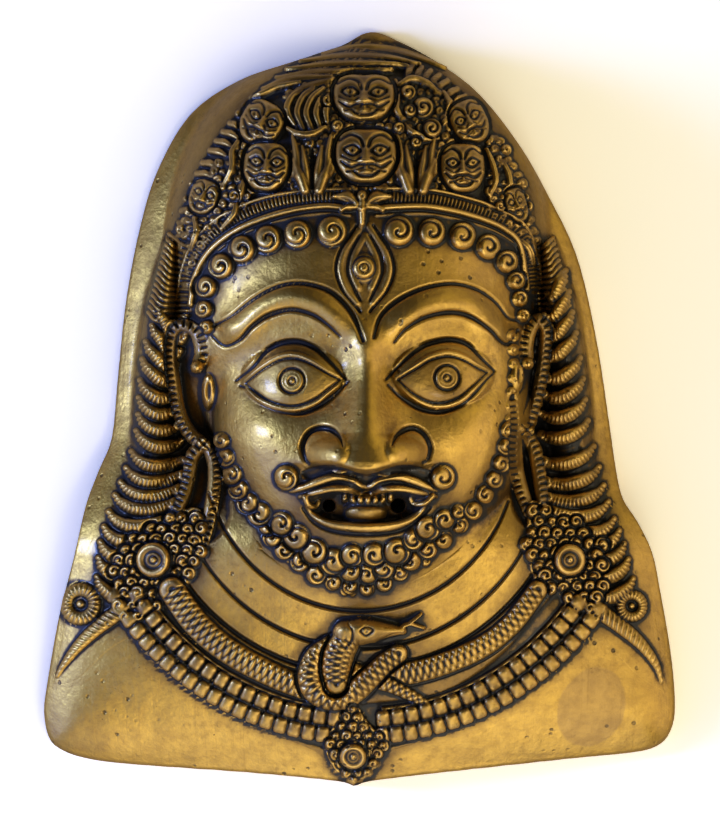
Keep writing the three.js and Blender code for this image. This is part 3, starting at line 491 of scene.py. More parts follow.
def small_face(x, y, wide, tall, rise, turn=0.0, open_mouth=0.0):
    """A cushion of a head with its features cut in; places in it run from -1 to 1 both ways."""
    part, dx, dy = about(x, y, 0.7 * max(wide, tall) + 2)
    a, b = turned(dx, dy, turn)
    a, b = a / (wide / 2), b / (tall / 2)
    q = oval(a / (1 - 0.16 * smooth(0, 1, b)), b, 1, 1, 2.7)
    h = rise * np.clip(1 - q ** 3, 0, None) ** 0.4
    for side in (-1, 1):
        h -= 0.8 * hill(oval(a - side * 0.45, b + 0.22, 0.34, 0.22))
        h += 0.9 * swell(oval(a - side * 0.45, b + 0.22, 0.24, 0.14) ** 2, 1, 0.5)
        h += 0.6 * hill(oval(a - side * 0.5, b - 0.2, 0.26, 0.2))
        h += 0.6 * hill(oval(a - side * 0.13, b - 0.22, 0.1, 0.09))
    ridge_on = smooth(-0.62, -0.3, b) * smooth(0.32, 0.22, b)
    h += (0.5 + 0.9 * smooth(-0.4, 0.2, b)) * hill(a / (0.1 + 0.08 * smooth(-0.3, 0.2, b))) * ridge_on
    h += 0.55 * hill(oval(a, b - 0.72, 0.3, 0.12)) + 0.5 * hill(oval(a, b - 0.5, 0.14, 0.08))
    stamped(part, q, h, 1.1, -0.6)

    c, s = math.cos(turn), math.sin(turn)

    def at(*places):
        return [(x + u * wide / 2 * c - v * tall / 2 * s, y + u * wide / 2 * s + v * tall / 2 * c)
                for u, v in places]
    fine = wide / 60
    for side in (-1, 1):
        for line, half, depth in SMALL_CUTS:
            half = half if isinstance(half, tuple) else half * fine
            groove(at(*[(side * u, v) for u, v in line]), half, depth)
        dent(*at((side * 0.45, -0.2))[0], 1.9 * fine, 1.9 * fine, 1.1)
    groove(at((-0.4, 0.56), (-0.18, 0.7), (0.18, 0.7), (0.4, 0.56)),
           (1.2, 2.0 + open_mouth, 2.0 + open_mouth, 1.2), 1.5)
    groove(at((-0.2, 0.56), (0.0, 0.5), (0.2, 0.56)), 1.2 * fine, 0.8)


SMALL_FACES = [  # place, width, height, rise, turn, how far the mouth opens
    (261, 123, 44, 46, 3.6, 0.5, 0.2), (470, 122, 38, 46, 3.4, -0.45, 0.2),
    (203, 197, 30, 36, 3.0, 0.35, 0.0), (517, 205, 22, 36, 2.4, -0.3, 0.0),
    (266, 167, 47, 50, 4.2, 0.06, 0.3), (463, 168, 46, 50, 4.0, -0.03, 0.3),
    (364, 97, 62, 50, 4.6, 0.0, 1.2), (366, 156, 62, 56, 4.8, 0.0, 0.7),
]

# %% Leafy ground and flames
foliage([(292, 140), (290, 90), (340, 80), (394, 76), (440, 88), (452, 150), (440, 190), (290, 190)],
        10, 5.4, 1.3, -0.9, 5)
foliage([(176, 258), (184, 218), (206, 176), (232, 150), (250, 142), (250, 200), (216, 226), (196, 262)],
        9.5, 5.2, 1.9, -0.3, 11)
foliage([(486, 140), (500, 140), (520, 176), (534, 226), (538, 262), (508, 226), (488, 204)],
        9.5, 5.2, 1.9, -0.3, 23)
FLAMES = [
    [(294, 124), (287, 110), (292, 96), (301, 90)], [(303, 128), (297, 112), (303, 96), (313, 88)],
    [(312, 129), (306, 113), (312, 97), (323, 88)], [(320, 127), (316, 112), (322, 98), (332, 92)],
    [(327, 122), (326, 110), (332, 100), (334, 108)], [(288, 129), (300, 134), (314, 133), (325, 127)],
    [(444, 92), (450, 104), (448, 118), (440, 126)], [(400, 84), (412, 78), (426, 82), (438, 92)],
    [(398, 96), (396, 108), (402, 118)], [(404, 124), (412, 132), (424, 138), (438, 138)],
    [(224, 184), (232, 168), (232, 152), (238, 142)], [(230, 206), (240, 194), (244, 180)],
    [(222, 228), (234, 214), (236, 200)], [(190, 250), (196, 232), (194, 218)],
    [(490, 196), (496, 180), (492, 162), (486, 150)], [(506, 196), (510, 180), (504, 162)],
    [(522, 240), (530, 250), (534, 264)],
]
for flame in FLAMES:
    ridge(flame, (2.2, 4.2, 4.2, 2.4), (2.0, 3.4, 3.2, 2.0))
    groove(flame, 0.9, 0.7)
for x, y, r, hand in [(423, 107, 11, 1), (432, 128, 10, -1), (408, 92, 8, 1), (410, 110, 7, -1),
                      (328, 100, 7, -1), (337, 126, 6, 1), (399, 128, 6, 1), (416, 142, 6, -1),
                      (234, 196, 6, 1), (500, 206, 6, -1), (506, 150, 6, 1)]:
    curl(x, y, r, 3.3, 1.4, hand, 0.2, 0.6)

# %% Open hands
FINGERS = [(19, 24, 5, 2.6), (14, 36, 5, 3.2), (7, 28, 3, 3.6)]  # foot, length, lean, rise
HAND_FOOT = 187
for x0 in (312, 416):
    for across in (-1, 1):
        for foot, top, lean, high in FINGERS:
            x = x0 + across * foot
            finger = [(x0 + across * 4, HAND_FOOT), (x - across, HAND_FOOT - 15),
                      (x + across * lean * 0.4, HAND_FOOT - top),
                      (x + across * lean, HAND_FOOT - 4 - top * 1.3)]
            ridge(finger, (4.6, 5.2, 4.4, 2.4), (2.0, high, high - 0.4, 1.6))
        ridge([(x0 + across * 7, HAND_FOOT + 3), (x0 + across * 11, HAND_FOOT - 9),
               (x0 + across * 18, HAND_FOOT - 27)], (6, 7, 3.4), (3.4, 4.2, 2.6))
    groove([(x0, HAND_FOOT + 2), (x0, HAND_FOOT - 17), (x0, HAND_FOOT - 37)], 1.6, 1.4)

# %% Combed hair
COMBED = [
    [(322, 53), (350, 47), (384, 48), (412, 54), (446, 68)], [(300, 61), (340, 55), (384, 56), (420, 64)],
    [(286, 69), (330, 63), (380, 63), (408, 66)], [(276, 77), (312, 71), (350, 71), (392, 70)],
    [(262, 88), (290, 78), (332, 76)], [(252, 99), (274, 87), (300, 82)], [(338, 78), (306, 86), (284, 98)],
]
for k, strand in enumerate(COMBED):
    ridge(strand, (1.6, 4.2, 4.0, 1.6), 1.7 + 0.2 * (k % 3), 0.14, 3.4, 1.4)
LOCKS = [  # line that the locks stand on, how many, side they grow to
    ([(256, 94), (236, 116), (216, 142), (198, 172), (184, 206), (176, 244)], 14, -1),
    ([(408, 62), (434, 72), (458, 90), (482, 116), (502, 148), (520, 186), (534, 228), (544, 262)], 20, 1),
]
for points, count, side in LOCKS:
    line = spline(points, 12)
    last = len(line) - 1
    for k in range(count):
        at = int((k + 0.5) / count * last)
        (x, y), (dx, dy) = line[at], line[min(at + 3, last)] - line[max(at - 3, 0)]
        ax, ay = side * dy / math.hypot(dx, dy), -side * dx / math.hypot(dx, dy)
        ridge([(x - out * ax, y - out * ay + drop) for out, drop in ((16, -3), (8, -2), (-1, 2))],
              (2.4, 4.2, 3.4), (0.9, 1.7, 1.1), 0.25, 3.0, 1.0)

# %% The heads, over what lies behind them
for head in SMALL_FACES:
    small_face(*head)


# %% [markdown]
# ## Headband, forehead curls and third eye
#
# The band is a rolled rail over a notched strip, as if wound with wire. Under it hangs a row of
# snail curls, smaller towards the temples. Between the brows a third eye stands on end, inside
# a flame drawn with two lines.

# %% Headband
LEFT_RAIL = [(190, 304), (195, 275), (210, 250), (240, 228), (280, 213), (320, 206), (350, 208)]
RIGHT_RAIL = [(376, 208), (420, 206), (450, 210), (480, 218), (505, 229), (521, 246), (527, 290)]
LEFT_STRIP = [(184, 300), (188, 270), (202, 244), (230, 221), (270, 204), (310, 197), (340, 196)]
RIGHT_STRIP = [(384, 197), (430, 199), (470, 208), (500, 219), (522, 236), (532, 262), (535, 290)]
LEFT_EDGE = [(176, 300), (182, 266), (196, 238), (226, 213), (268, 197), (310, 190), (350, 189)]
RIGHT_EDGE = [(376, 188), (430, 190), (470, 199), (500, 210), (526, 226), (538, 254), (542, 284)]
for line in (LEFT_STRIP, RIGHT_STRIP):
    ridge(line, 5.2, 1.7, 0.75, 3.9, 0.0, 0.3)
for line in (LEFT_RAIL, RIGHT_RAIL):
    ridge(line, 3.7, 2.3)
    ridge([(x, y + 7.5) for x, y in line], 1.5, 0.7)
for line in (LEFT_EDGE, RIGHT_EDGE):
    ridge(line, 1.8, 1.7)

# %% Clasp of the headband
CLASP = 362  # how far across the sheet its middle is
for side in (-1, 1):
    ridge([(CLASP + side * 5, 204), (CLASP + side * 14, 197), (CLASP + side * 28, 197)], (4.0, 7.2, 2.4), 3.4)
    ridge([(CLASP + side * 5, 207), (CLASP + side * 15, 207), (CLASP + side * 21, 211)], (3, 4, 2), 3.0)
    groove([(CLASP + side * 8, 203), (CLASP + side * 16, 199), (CLASP + side * 26, 198)], 1.1, 0.8)
ridge([(CLASP, 202), (CLASP, 224)], (5.5, 3.2), (3.6, 2.4))
knob(CLASP, 196, 6, 6, 4.2)
dent(CLASP, 196, 2, 2, 1.0)
knob(CLASP, 209, 5.5, 4.5, 4.0)

# %% Forehead curls
LEFT_CURLS = [
    (332, 231, 14), (297, 234, 13), (267, 239, 13), (241, 249, 13), (220, 266, 12),
    (205, 287, 10.5), (203, 309, 8.5), (206, 327, 6.5),
]
RIGHT_CURLS = [
    (399, 231, 14), (432, 232, 13), (463, 236, 13), (489, 247, 12), (508, 262, 11),
    (517, 281, 9), (521, 299, 8), (524, 316, 6.5),
]
for hand, row in ((1, LEFT_CURLS), (-1, RIGHT_CURLS)):
    for k, (x, y, r) in enumerate(row):
        curl(x, y, r * 1.08, 3.2, 1.25, hand, 0.3 + 0.05 * k, 0.55, 1.16)
for k in range(7):
    curl(515 - 0.8 * abs(k - 2), 336 + 14 * k, 6, 1.5, 1.1, -1, 0.3, 0.5)

# %% Third eye
THIRD_EYE = (364, 268)
FLAME_MIDDLE = 365
FLAME = [  # line on the left, half width, depth
    ([(357, 226), (349, 238), (340, 252), (336, 270), (342, 289), (353, 303), (360, 312)], 1.7, 1.3),
    ([(360, 236), (354, 247), (349, 259), (348, 273), (354, 288), (360, 301)], 1.5, 1.0),
]
for points, half, depth in FLAME:
    for side in (-1, 1):
        from_middle = [(side * (FLAME_MIDDLE - x), y) for x, y in points]
        groove([(FLAME_MIDDLE + dx, y) for dx, y in from_middle], half, depth)
        ridge([(FLAME_MIDDLE + dx - side * 4.4, y) for dx, y in from_middle[:-1]], 3.2, 0.6, foot=0.05)
knob(*THIRD_EYE, 14, 15, 1.0, power=0.6)
rings(*THIRD_EYE, 14, 2.4, 1.0, 1.0, 0.95, 0.9, 0.86, 0.75, 0.4, 0.1)
for r in (11.2, 4.4):
    groove(circle(*THIRD_EYE, r), 1.2, 0.9)
dent(*THIRD_EYE, 1.6, 1.6, 0.6)


# %% [markdown]
# ## Brows, eyes and nose
#
# The brows are smooth rolls bounded by cut lines. Each eye is a ball between two lids: a lid is
# a thin raised lip, with a cut crease beyond it, and the lids meet in a long dark corner. The
# iris is punched with rings. The wings of the nose are outlined by a deep curved cut.

# %% Brows
BROW_CUTS = [
    ([(212, 327), (232, 316), (250, 302), (270, 290), (290, 284), (310, 285), (330, 292),
      (345, 305), (355, 320), (363, 341)], (1.2, 1.9, 1.9, 2.2, 2.0), (0.5, 1.1, 1.3, 1.5, 1.0)),
    ([(212, 336), (225, 346), (240, 340), (252, 327), (268, 316), (290, 310), (310, 314),
      (325, 323), (340, 337)], (1.0, 2.0, 2.4, 2.0, 1.2), (0.6, 1.3, 1.5, 1.2, 0.5)),
    ([(374, 338), (380, 318), (395, 303), (420, 290), (450, 284), (475, 289), (495, 302),
      (508, 318), (519, 321)], (1.6, 2.2, 1.9, 1.9, 1.2), (0.9, 1.5, 1.3, 1.1, 0.5)),
    ([(394, 343), (405, 330), (425, 318), (450, 313), (470, 317), (490, 330), (500, 341),
      (509, 344), (518, 330)], (1.2, 2.0, 2.4, 2.0, 1.0), (0.5, 1.2, 1.5, 1.3, 0.6)),
]
for points, half, depth in BROW_CUTS:
    groove(points, [1.35 * v for v in half], [1.2 * v for v in depth])

# %% Eyes
EYES = [
    dict(crease=[(236, 381), (253, 367), (265, 353), (280, 344), (298, 342), (315, 349), (333, 365),
                 (346, 380)],
         fold=[(240, 386), (255, 392), (270, 404), (290, 412), (306, 412), (325, 402), (340, 390),
               (349, 381)],
         upper=[(246, 383), (263, 369), (279, 360), (295, 358), (312, 364), (328, 374), (340, 380)],
         lower=[(246, 384), (259, 396), (275, 404), (295, 407), (315, 400), (329, 389), (340, 380)],
         iris=(292, 381)),
    dict(crease=[(386, 380), (400, 365), (415, 352), (430, 344), (450, 340), (466, 344), (480, 357),
                 (494, 371)],
         fold=[(388, 385), (400, 397), (420, 409), (440, 412), (460, 405), (475, 393), (486, 381),
               (494, 373)],
         upper=[(398, 380), (414, 370), (430, 360), (448, 356), (464, 360), (477, 368), (487, 373)],
         lower=[(398, 380), (411, 393), (426, 402), (442, 404), (460, 398), (474, 386), (487, 373)],
         iris=(447, 378)),
]
for eye in EYES:
    groove(eye["crease"], (1.4, 2.8, 3.2, 2.8, 1.4), (0.8, 1.6, 1.9, 1.6, 0.9))
    groove(eye["fold"], (1.2, 2.5, 2.9, 2.5, 1.2), (0.7, 1.4, 1.7, 1.4, 0.7))
    for line, away in ((eye["upper"], -3.2), (eye["lower"], 3.2)):
        groove(line, (1.2, 1.8, 1.9, 1.8, 1.2), (0.8, 1.2, 1.3, 1.2, 0.8))
        ridge([(x, y + away) for x, y in line], (0.8, 2.6, 3.0, 2.6, 0.8), (0.2, 0.8, 1.0, 0.8, 0.2))
    knob(*eye["iris"], 12, 12, 0.5, power=0.4)
    for r, half, depth in ((12.4, 1.5, 1.2), (7.6, 0.9, 0.4), (3.4, 1.2, 0.9)):
        groove(circle(*eye["iris"], r), half, depth)

# %% Wings of the nose
WING_CUTS = [
    [(343, 447), (339, 437), (330, 430), (319, 429), (309, 434), (303, 446), (305, 459), (309, 464)],
    [(392, 446), (396, 437), (404, 431), (414, 429), (424, 435), (430, 447), (428, 459), (423, 463)],
]
for wing in WING_CUTS:
    groove(wing, (1.2, 3.4, 3.4, 3.4, 2.0), (0.6, 2.0, 2.2, 2.3, 1.2))


# %% [markdown]
# ## Mouth, moustache and beard
#
# The lip ridge runs into a moustache whose ends curl up like snails. The open mouth shows a row
# of teeth, a small fang at each corner and the tongue; beside the tongue two holes go right
# through the casting. The beard is made of snail curls again, a chain down each cheek and
# packed rows on the chin.

# %% Lips and moustache
UNDER_NOSE = [(300, 470), (330, 462), (366, 472), (402, 462), (432, 470), (420, 482), (380, 480),
              (366, 486), (350, 480), (312, 482)]
UPPER_LIP = [(300, 497), (318, 492), (334, 489), (350, 491), (366, 496), (382, 491), (400, 489),
             (418, 492), (436, 497)]
MOUSTACHE = [(283, 488), (300, 489), (318, 482), (336, 477), (352, 480), (366, 488), (380, 480),
             (398, 477), (416, 482), (432, 489), (446, 487)]
LOWER_LIP = [(306, 506), (314, 515), (330, 523), (350, 526), (368, 527), (388, 526), (404, 522),
             (418, 514), (426, 505)]
sunk(UNDER_NOSE, 0.8, 3)
ridge(UPPER_LIP, (2.2, 4.0, 4.2, 3.6, 4.2, 4.0, 2.2), (1.0, 2.0, 2.1, 1.8, 2.1, 2.0, 1.0), roundness=0.4)
ridge(MOUSTACHE, (3.4, 4.2, 4.6, 4.4, 3.0, 1.8, 3.0, 4.4, 4.6, 4.2, 3.4),
      (1.8, 2.4, 2.6, 2.4, 1.8, 0.8, 1.8, 2.4, 2.6, 2.4, 1.8), roundness=0.42)
groove([(296, 493), (318, 487), (340, 483), (366, 492), (392, 483), (414, 487), (438, 493)], 1.2, 0.8)
for x, hand in ((286, 1), (443, -1)):
    curl(x, 478, 12.5, 3.2, 1.1, hand, 0.35, 0.6)
ridge(LOWER_LIP, (2.0, 4.4, 5.6, 6.0, 5.6, 4.4, 2.0), (0.9, 2.0, 2.5, 2.7, 2.5, 2.0, 0.9), roundness=0.4)
groove([(303, 509), (314, 523), (334, 532), (366, 535), (398, 532), (416, 522), (430, 508)], 1.8, 1.2)

# %% Teeth, fangs and tongue
FANGS = [[(305, 497), (308, 504), (315, 507), (319, 502)], [(433, 496), (425, 503), (415, 504), (410, 499)]]
for k in range(7):
    knob(345 + 7.6 * k, 499 + 0.5 * math.cos(k - 3), 3.3, 4.4, 2.5, square=3.0)
for fang in FANGS:
    ridge(fang, (3.4, 3.4, 3.0, 1.8), (2.6, 3.0, 3.0, 2.0))
knob(366, 515, 21, 8.5, 1.6, power=0.4, square=2.8)

# %% Beard
BEARD = [  # place and size of each snail
    (221, 441, 7), (225, 458, 8), (231, 475, 9), (238, 490, 8.5), (247, 503, 9), (259, 514, 10),
    (268, 526, 8), (281, 524, 10), (272, 538, 8), (296, 537, 11), (284, 550, 8.5), (314, 552, 11),
    (300, 562, 8.5), (333, 562, 11.5), (316, 575, 8.5), (352, 556, 9.5), (350, 572, 9), (333, 583, 7),
    (374, 555, 10), (397, 552, 11.5), (384, 569, 9), (367, 575, 8.5), (350, 587, 6.5), (367, 589, 6.5),
    (384, 584, 7), (414, 540, 9), (411, 561, 9), (400, 573, 7), (428, 529, 10.5), (428, 549, 8.5),
    (445, 520, 9), (444, 540, 8), (460, 525, 7.5), (458, 512, 6), (474, 511, 8), (486, 495, 8),
    (495, 480, 7.5), (502, 464, 7.5), (507, 447, 7.5), (510, 430, 7.5),
]
foliage([(250, 506), (280, 520), (306, 536), (334, 552), (366, 556), (398, 548), (424, 532), (446, 520),
         (462, 520), (444, 546), (416, 568), (388, 584), (352, 592), (318, 582), (286, 560), (262, 532)],
        9, 5, 1.6, 0.2, 3)
for k, (x, y, r) in sorted(enumerate(BEARD), key=lambda item: -item[1][1]):
    curl(x, y, r * 1.18, 2.7, 0.95, 1 if (x > 366) == (k % 3 > 0) else -1, 0.23 * k, 0.75, 1.17)
    dent(x, y, 1.7, 1.7, 0.9)


# %% [markdown]
# ## Hair ringlets, ears and shoulders
#
# The side hair is seventeen ringlets hung one under the other. Each is a smooth roll with a notched
# roll below it, sagging between the outer edge and the ear. The ear strands are notched snakes.
# On each shoulder a ringed boss sits in a plaque of scrolls, with a shell and a notched horn.

# %% Temple locks
for k in range(15):
    for x0, x1, top, hand in ((181, 185, 240, 1), (541, 541, 244, -1)):
        y = top + 5.6 * k
        x = x0 - hand * (2 + 1.5 * k)
        ridge([(x - hand * 10, y - 6), (x, y + 3), (x1 + hand * 2, y + 7 - 0.3 * k)],
              (1.8, 3.0, 2.2), 1.7, 0.2, 2.8, 1.5)

# %% Ringlets
HAIR = [  # outer and inner edge of each side's hair
    ([(158, 318), (144, 358), (139, 400), (136, 440), (125, 480), (112, 512), (101, 548), (97, 586)],
     [(184, 335), (174, 368), (172, 402), (180, 440), (181, 475), (170, 508), (136, 546), (122, 590)]),
    ([(566, 280), (574, 330), (582, 380), (588, 430), (600, 480), (611, 520), (623, 550), (633, 588)],
     [(547, 292), (545, 340), (546, 385), (541, 432), (545, 482), (556, 515), (592, 550), (598, 592)]),
]
RINGLETS = 17
for (outer, inner), hand in zip(HAIR, (1, -1)):
    a, b = spline(outer, 12), spline(inner, 12)
    for k in range(RINGLETS):
        i = int(k / (RINGLETS - 1) * (len(a) - 1))
        (x0, y0), (x1, y1) = a[i], b[i]
        wide = x1 - x0
        roll = [(x0, y0 - 9), (x0 + 0.10 * wide, y0 - 2), (x0 + 0.30 * wide, y0 + 4),
                (x0 + 0.58 * wide, (y0 + y1) / 2 + 7), (x0 + 0.85 * wide, y1 + 5), (x1, y1 + 2)]
        ridge(roll, (3.4, 6.4, 7.6, 7.8, 7.2, 4.6), (1.6, 2.8, 3.3, 3.3, 2.8, 2.0), roundness=0.6)
        part, gap, passed, side, _ = near(roll, 7)
        tick = (0.5 - 0.5 * np.cos(2 * math.pi * passed / 3.9)) ** 2 * smooth(-3.0, 0.5, -side * gap * hand)
        cut(part, np.where(CARVED[part] > 0.4, 0.85 * tick * smooth(6.8, 5.2, gap), 0))

# %% Ears
for x, y, ry in ((208, 392, 18), (518, 376, 16)):
    knob(x, y, 7, ry, 2.6)
    dent(x + 1, y - 1, 3.2, ry * 0.55, 1.4)

# %% Notched strands of the ears
STRAND_HALF = 7
NOTCHED_LEFT = (0, 1, 4)  # the strands whose notches lie on their other side
for k, (points, _) in enumerate(EAR_STRANDS):
    part, gap, passed, side, _ = near(points, STRAND_HALF + 1)
    outer = side * (-1 if k in NOTCHED_LEFT else 1)
    CARVED[part] = np.where(gap < STRAND_HALF, 0.3, CARVED[part])
    slot = np.clip(np.cos(2 * math.pi * passed / 6.2), 0, 1) ** 3
    across = np.clip(1 - ((outer * gap - 2.4) / 4.0) ** 2, 0, None)
    cut(part, np.where(gap < STRAND_HALF, 1.5 * slot * across ** 0.6, 0))
for x, y in ((197, 367), (528, 364)):
    knob(x, y, 6.5, 6.5, 2.2)
    rings(x, y, 2.6, 2.8, 0.3, 0.9, 1.0, 0.7)
for x, y in ((204, 444), (527, 430)):
    knob(x, y, 8, 6, 1.6, 0.4)
    for turn in (0.8, -0.8):
        dx, dy = 7 * math.cos(turn), 7 * math.sin(turn)
        groove([(x - dx, y - dy), (x, y), (x + dx, y + dy)], (0.6, 1.8, 0.6), 1.2)

# %% Shoulders
foliage([(116, 548), (140, 532), (166, 520), (190, 508), (203, 514), (204, 540), (196, 566), (186, 590),
         (170, 604), (150, 612), (130, 622), (118, 606), (114, 576)], 12.5, 7.2, 3.2, 1.5, 7)
foliage([(530, 502), (552, 508), (578, 520), (600, 538), (606, 566), (606, 600), (596, 620), (574, 608),
         (556, 592), (538, 586), (530, 566), (527, 534)], 12.5, 7.2, 3.2, 1.5, 8)
for x, y, r in ((153, 560, 18), (570, 560, 16.5)):
    boss(x, y, r, 1.12, 3.6, 5.4, 0.94, 0.94, 0.82, 0.92, 0.95, 0.8, 0.9, 0.97, 1.0, 0.97, 0.86, 0.5)

# %% Horns and shells
for points in ([(120, 611), (98, 627), (78, 646), (64, 664), (57, 676)],
               [(602, 613), (622, 627), (642, 645), (656, 664), (662, 682)]):
    ridge(points, (8.5, 8.0, 6.5, 4.6, 1.6), (3.0, 3.0, 2.6, 2.0, 1.0), 0.25, 5.6, 0.5, 0.4)
FLUTES = 22
for x, y, r in ((80, 604, 21), (632, 606, 16)):
    part, dx, dy = about(x, y, r + 1)
    q = np.hypot(dx, dy) / r
    fluted = 0.5 + 0.5 * np.cos(np.arctan2(dy, dx) * FLUTES)
    shell = 3.0 * np.clip(1 - ((q - 0.68) / 0.34) ** 2, 0, None) ** 0.5 * (1 - 0.42 * fluted)
    raised(part, q < 1.02, shell)
    knob(x, y, r * 0.22, r * 0.22, 1.6)


# %% [markdown]
# ## Collar, snakes and garland
#
# Everything round the neck follows ovals about one centre. Two cut lines and a raised edge ring
# the neck; the snakes' bodies carry lozenge scales, worked out from two sets of slanting waves;
# the garland is two rows of cushion beads. The two snakes knot in front, one head looking out.

# %% Rings round the neck
def on_neck(rx, ry, degrees):
    """A place on an oval round the neck; 0 degrees is its lowest point."""
    a = math.radians(degrees)
    return NECK[0] + rx * math.sin(a), NECK[1] + ry * math.cos(a)


def neck_line(rx, ry, start, end, count=16):
    return [on_neck(rx, ry, start + (end - start) * k / count) for k in range(count + 1)]


for rx, ry, start, end in ((159, 171, -72, 69), (192, 208, -64, 62)):
    groove(neck_line(rx, ry, start, end), (1.4, 2.2, 2.4, 2.2, 1.4), (0.8, 1.5, 1.7, 1.5, 0.8))
groove(neck_line(221, 234, -58, -10), 2.6, 1.7)
groove(neck_line(214, 229, 12, 56), 2.4, 1.6)


# %% Snakes
def snake(points, half, rise, pitch=7.2, across=3.4, flat=0.36):
    """A round body with lozenge scales, parted by two sets of slanting cut lines."""
    part, gap, along, side, length = near(points, max(half) + 2.5, 8)
    q = gap / size_at(half, along / length)
    cross = side * np.arcsin(np.clip(q, 0, 1)) * across / math.pi
    lines = [np.abs((along / pitch + way * cross) % 1 - 0.5) for way in (0.5, -0.5)]
    cuts = sum(np.exp(-((0.5 - line) / 0.13) ** 2) for line in lines)
    body = size_at(rise, along / length) * np.clip(1 - q ** 2.4, 0, None) ** flat
    stamped(part, q, body - 0.9 * np.clip(cuts, 0, 1.1) * smooth(1.0, 0.8, q), 1.16, -0.5)


SNAKES = [  # line, half widths, rises, and the scales of the head's neck
    ([(172, 590), (192, 619), (213, 640), (237, 657), (263, 671), (290, 683), (312, 690)],
     (13.5, 13.5, 13, 12.5, 12), 3.2),
    ([(538, 590), (512, 624), (481, 648), (441, 665), (405, 674), (386, 672)], (10, 10.5, 11, 11.5, 12), 3.0),
    ([(352, 672), (376, 680), (400, 690), (424, 703), (440, 716)], (10, 9, 7, 5, 2), (3.6, 3.4, 2.8, 2.2, 1)),
    ([(398, 654), (384, 664), (370, 678), (352, 694), (332, 700), (315, 692), (309, 676), (316, 658),
      (330, 648)], (10, 11, 12, 12.5, 12.5, 12, 12), (3.4, 4.4, 5.2, 5.4, 5.4, 5.2, 5.0)),
    ([(336, 684), (336, 668), (340, 652), (348, 640), (356, 634)], (12, 15, 16, 15, 13),
     (4.6, 6.4, 7.0, 7.2, 7.0), 6.4, 5.0),
]
sunk([(140, 600), (160, 580), (200, 640), (260, 690), (330, 706), (366, 700), (440, 690), (500, 650),
      (560, 584), (590, 606), (560, 660), (480, 722), (372, 752), (330, 752), (230, 716), (160, 660)], 1.0, 5)
for body in SNAKES:
    snake(*body)

# %% The head that looks out
ridge([(346, 634), (358, 633), (372, 632), (388, 631), (402, 631)], (14, 15, 13, 8.5, 5.0),
      (7.0, 7.8, 7.6, 6.6, 5.4), roundness=0.4)
groove([(366, 646), (380, 641), (392, 635), (404, 632)], (0.8, 1.3, 1.3, 0.8), (0.5, 1.0, 1.0, 0.5))
groove([(346, 648), (352, 640), (352, 630), (348, 622)], 1.3, 0.9)
for tip in ((421, 614), (424, 628)):
    ridge([(398, 629), (408, 624), tip], (2.8, 2.6, 1.2), (4.6, 4.0, 2.6))
groove([(360, 631), (366, 626), (373, 630), (366, 636), (360, 631)], 1.3, 1.2)
dent(366, 631, 2.0, 2.0, 0.6)
groove([(384, 626), (392, 627)], 0.9, 0.7)

# %% Garland
BEAD_ROWS = [  # reach of the oval both ways, first and last angle, beads
    (269, 280, -56.5, -5.5, 17), (290, 297, -58.5, -4.6, 20),
    (269, 280, 5, 54.5, 17), (290, 297, 4.4, 55.5, 19),
]
for rx, ry, start, end, count in BEAD_ROWS:
    for k in range(count):
        angle = start + (end - start) * k / (count - 1)
        x, y = on_neck(rx, ry, angle)
        knob(x, y, 7.3, 8.4, 2.9, -math.radians(angle), 0.3, square=3.6)
for start, end in ((-57, -5), (5, 55)):
    ridge(neck_line(279.5, 288.5, start, end), 1.8, 1.0)
    ridge(neck_line(259, 270, start, end), 1.6, 0.8)

# %% Pendant
foliage([(351, 700), (340, 722), (326, 746), (334, 768), (354, 784), (373, 768), (386, 746), (368, 722)],
        10.5, 6, 3.2, 1.6, 9)
boss(353, 757, 14, 1.14, 3.0, 5.2, 0.9, 0.9, 0.75, 0.9, 0.95, 0.8, 0.95, 1.0, 0.98, 0.8, 0.5)


# %% [markdown]
# ## Soft edges
#
# Wax melts a little and cloths rub for years, so nothing cast has a knife edge. One light blur of
# the table rounds every cut and foot at once, where a bevel on each ornament would be slow.

# %% Blur
def blur(table, reach, times=2):
    """Box averages, taken more than once so that they fall off softly."""
    for _ in range(times):
        for axis in (0, 1):
            edges = [(reach + 1, reach) if axis == k else (0, 0) for k in (0, 1)]
            sums = np.cumsum(np.pad(table, edges, mode="edge"), axis=axis)
            count = sums.shape[axis]
            above = np.take(sums, range(2 * reach + 1, count), axis)
            table = (above - np.take(sums, range(count - 2 * reach - 1), axis)) / (2 * reach + 1)
    return table


CARVED = blur(CARVED, 1, 1)
print("carving: highest", round(float(CARVED.max()), 1), "mm, deepest", round(float(CARVED.min()), 1))


# %% [markdown]
# ## From the sheet to metal
#
# The sheet is a drawing seen from one point above the nose, so a place on it with a height
# becomes a place in space by leaning towards that point. Ornaments stand out partly along the
# body's own slope, as a chisel held to the surface leaves them, and not straight up.

# %% Reading tables
def lowest(table, reach):
    """Each cell takes the lowest value within reach of it."""
    for axis in (0, 1):
        low = table
        for k in range(1, reach + 1):
            low = np.minimum(low, np.minimum(np.roll(table, k, axis), np.roll(table, -k, axis)))
        table = low
    return table


def read(table, x, y, per=1):
    """A table's value between its cells; `per` is its cells in one unit of the sheet."""
    x, y = x * per, y * per
    i = np.clip(np.floor(x).astype(int), 0, table.shape[1] - 2)
    j = np.clip(np.floor(y).astype(int), 0, table.shape[0] - 2)
    fx, fy = np.clip(x - i, 0, 1), np.clip(y - j, 0, 1)
    top = table[j, i] * (1 - fx) + table[j, i + 1] * fx
    return top * (1 - fy) + (table[j + 1, i] * (1 - fx) + table[j + 1, i + 1] * fx) * fy


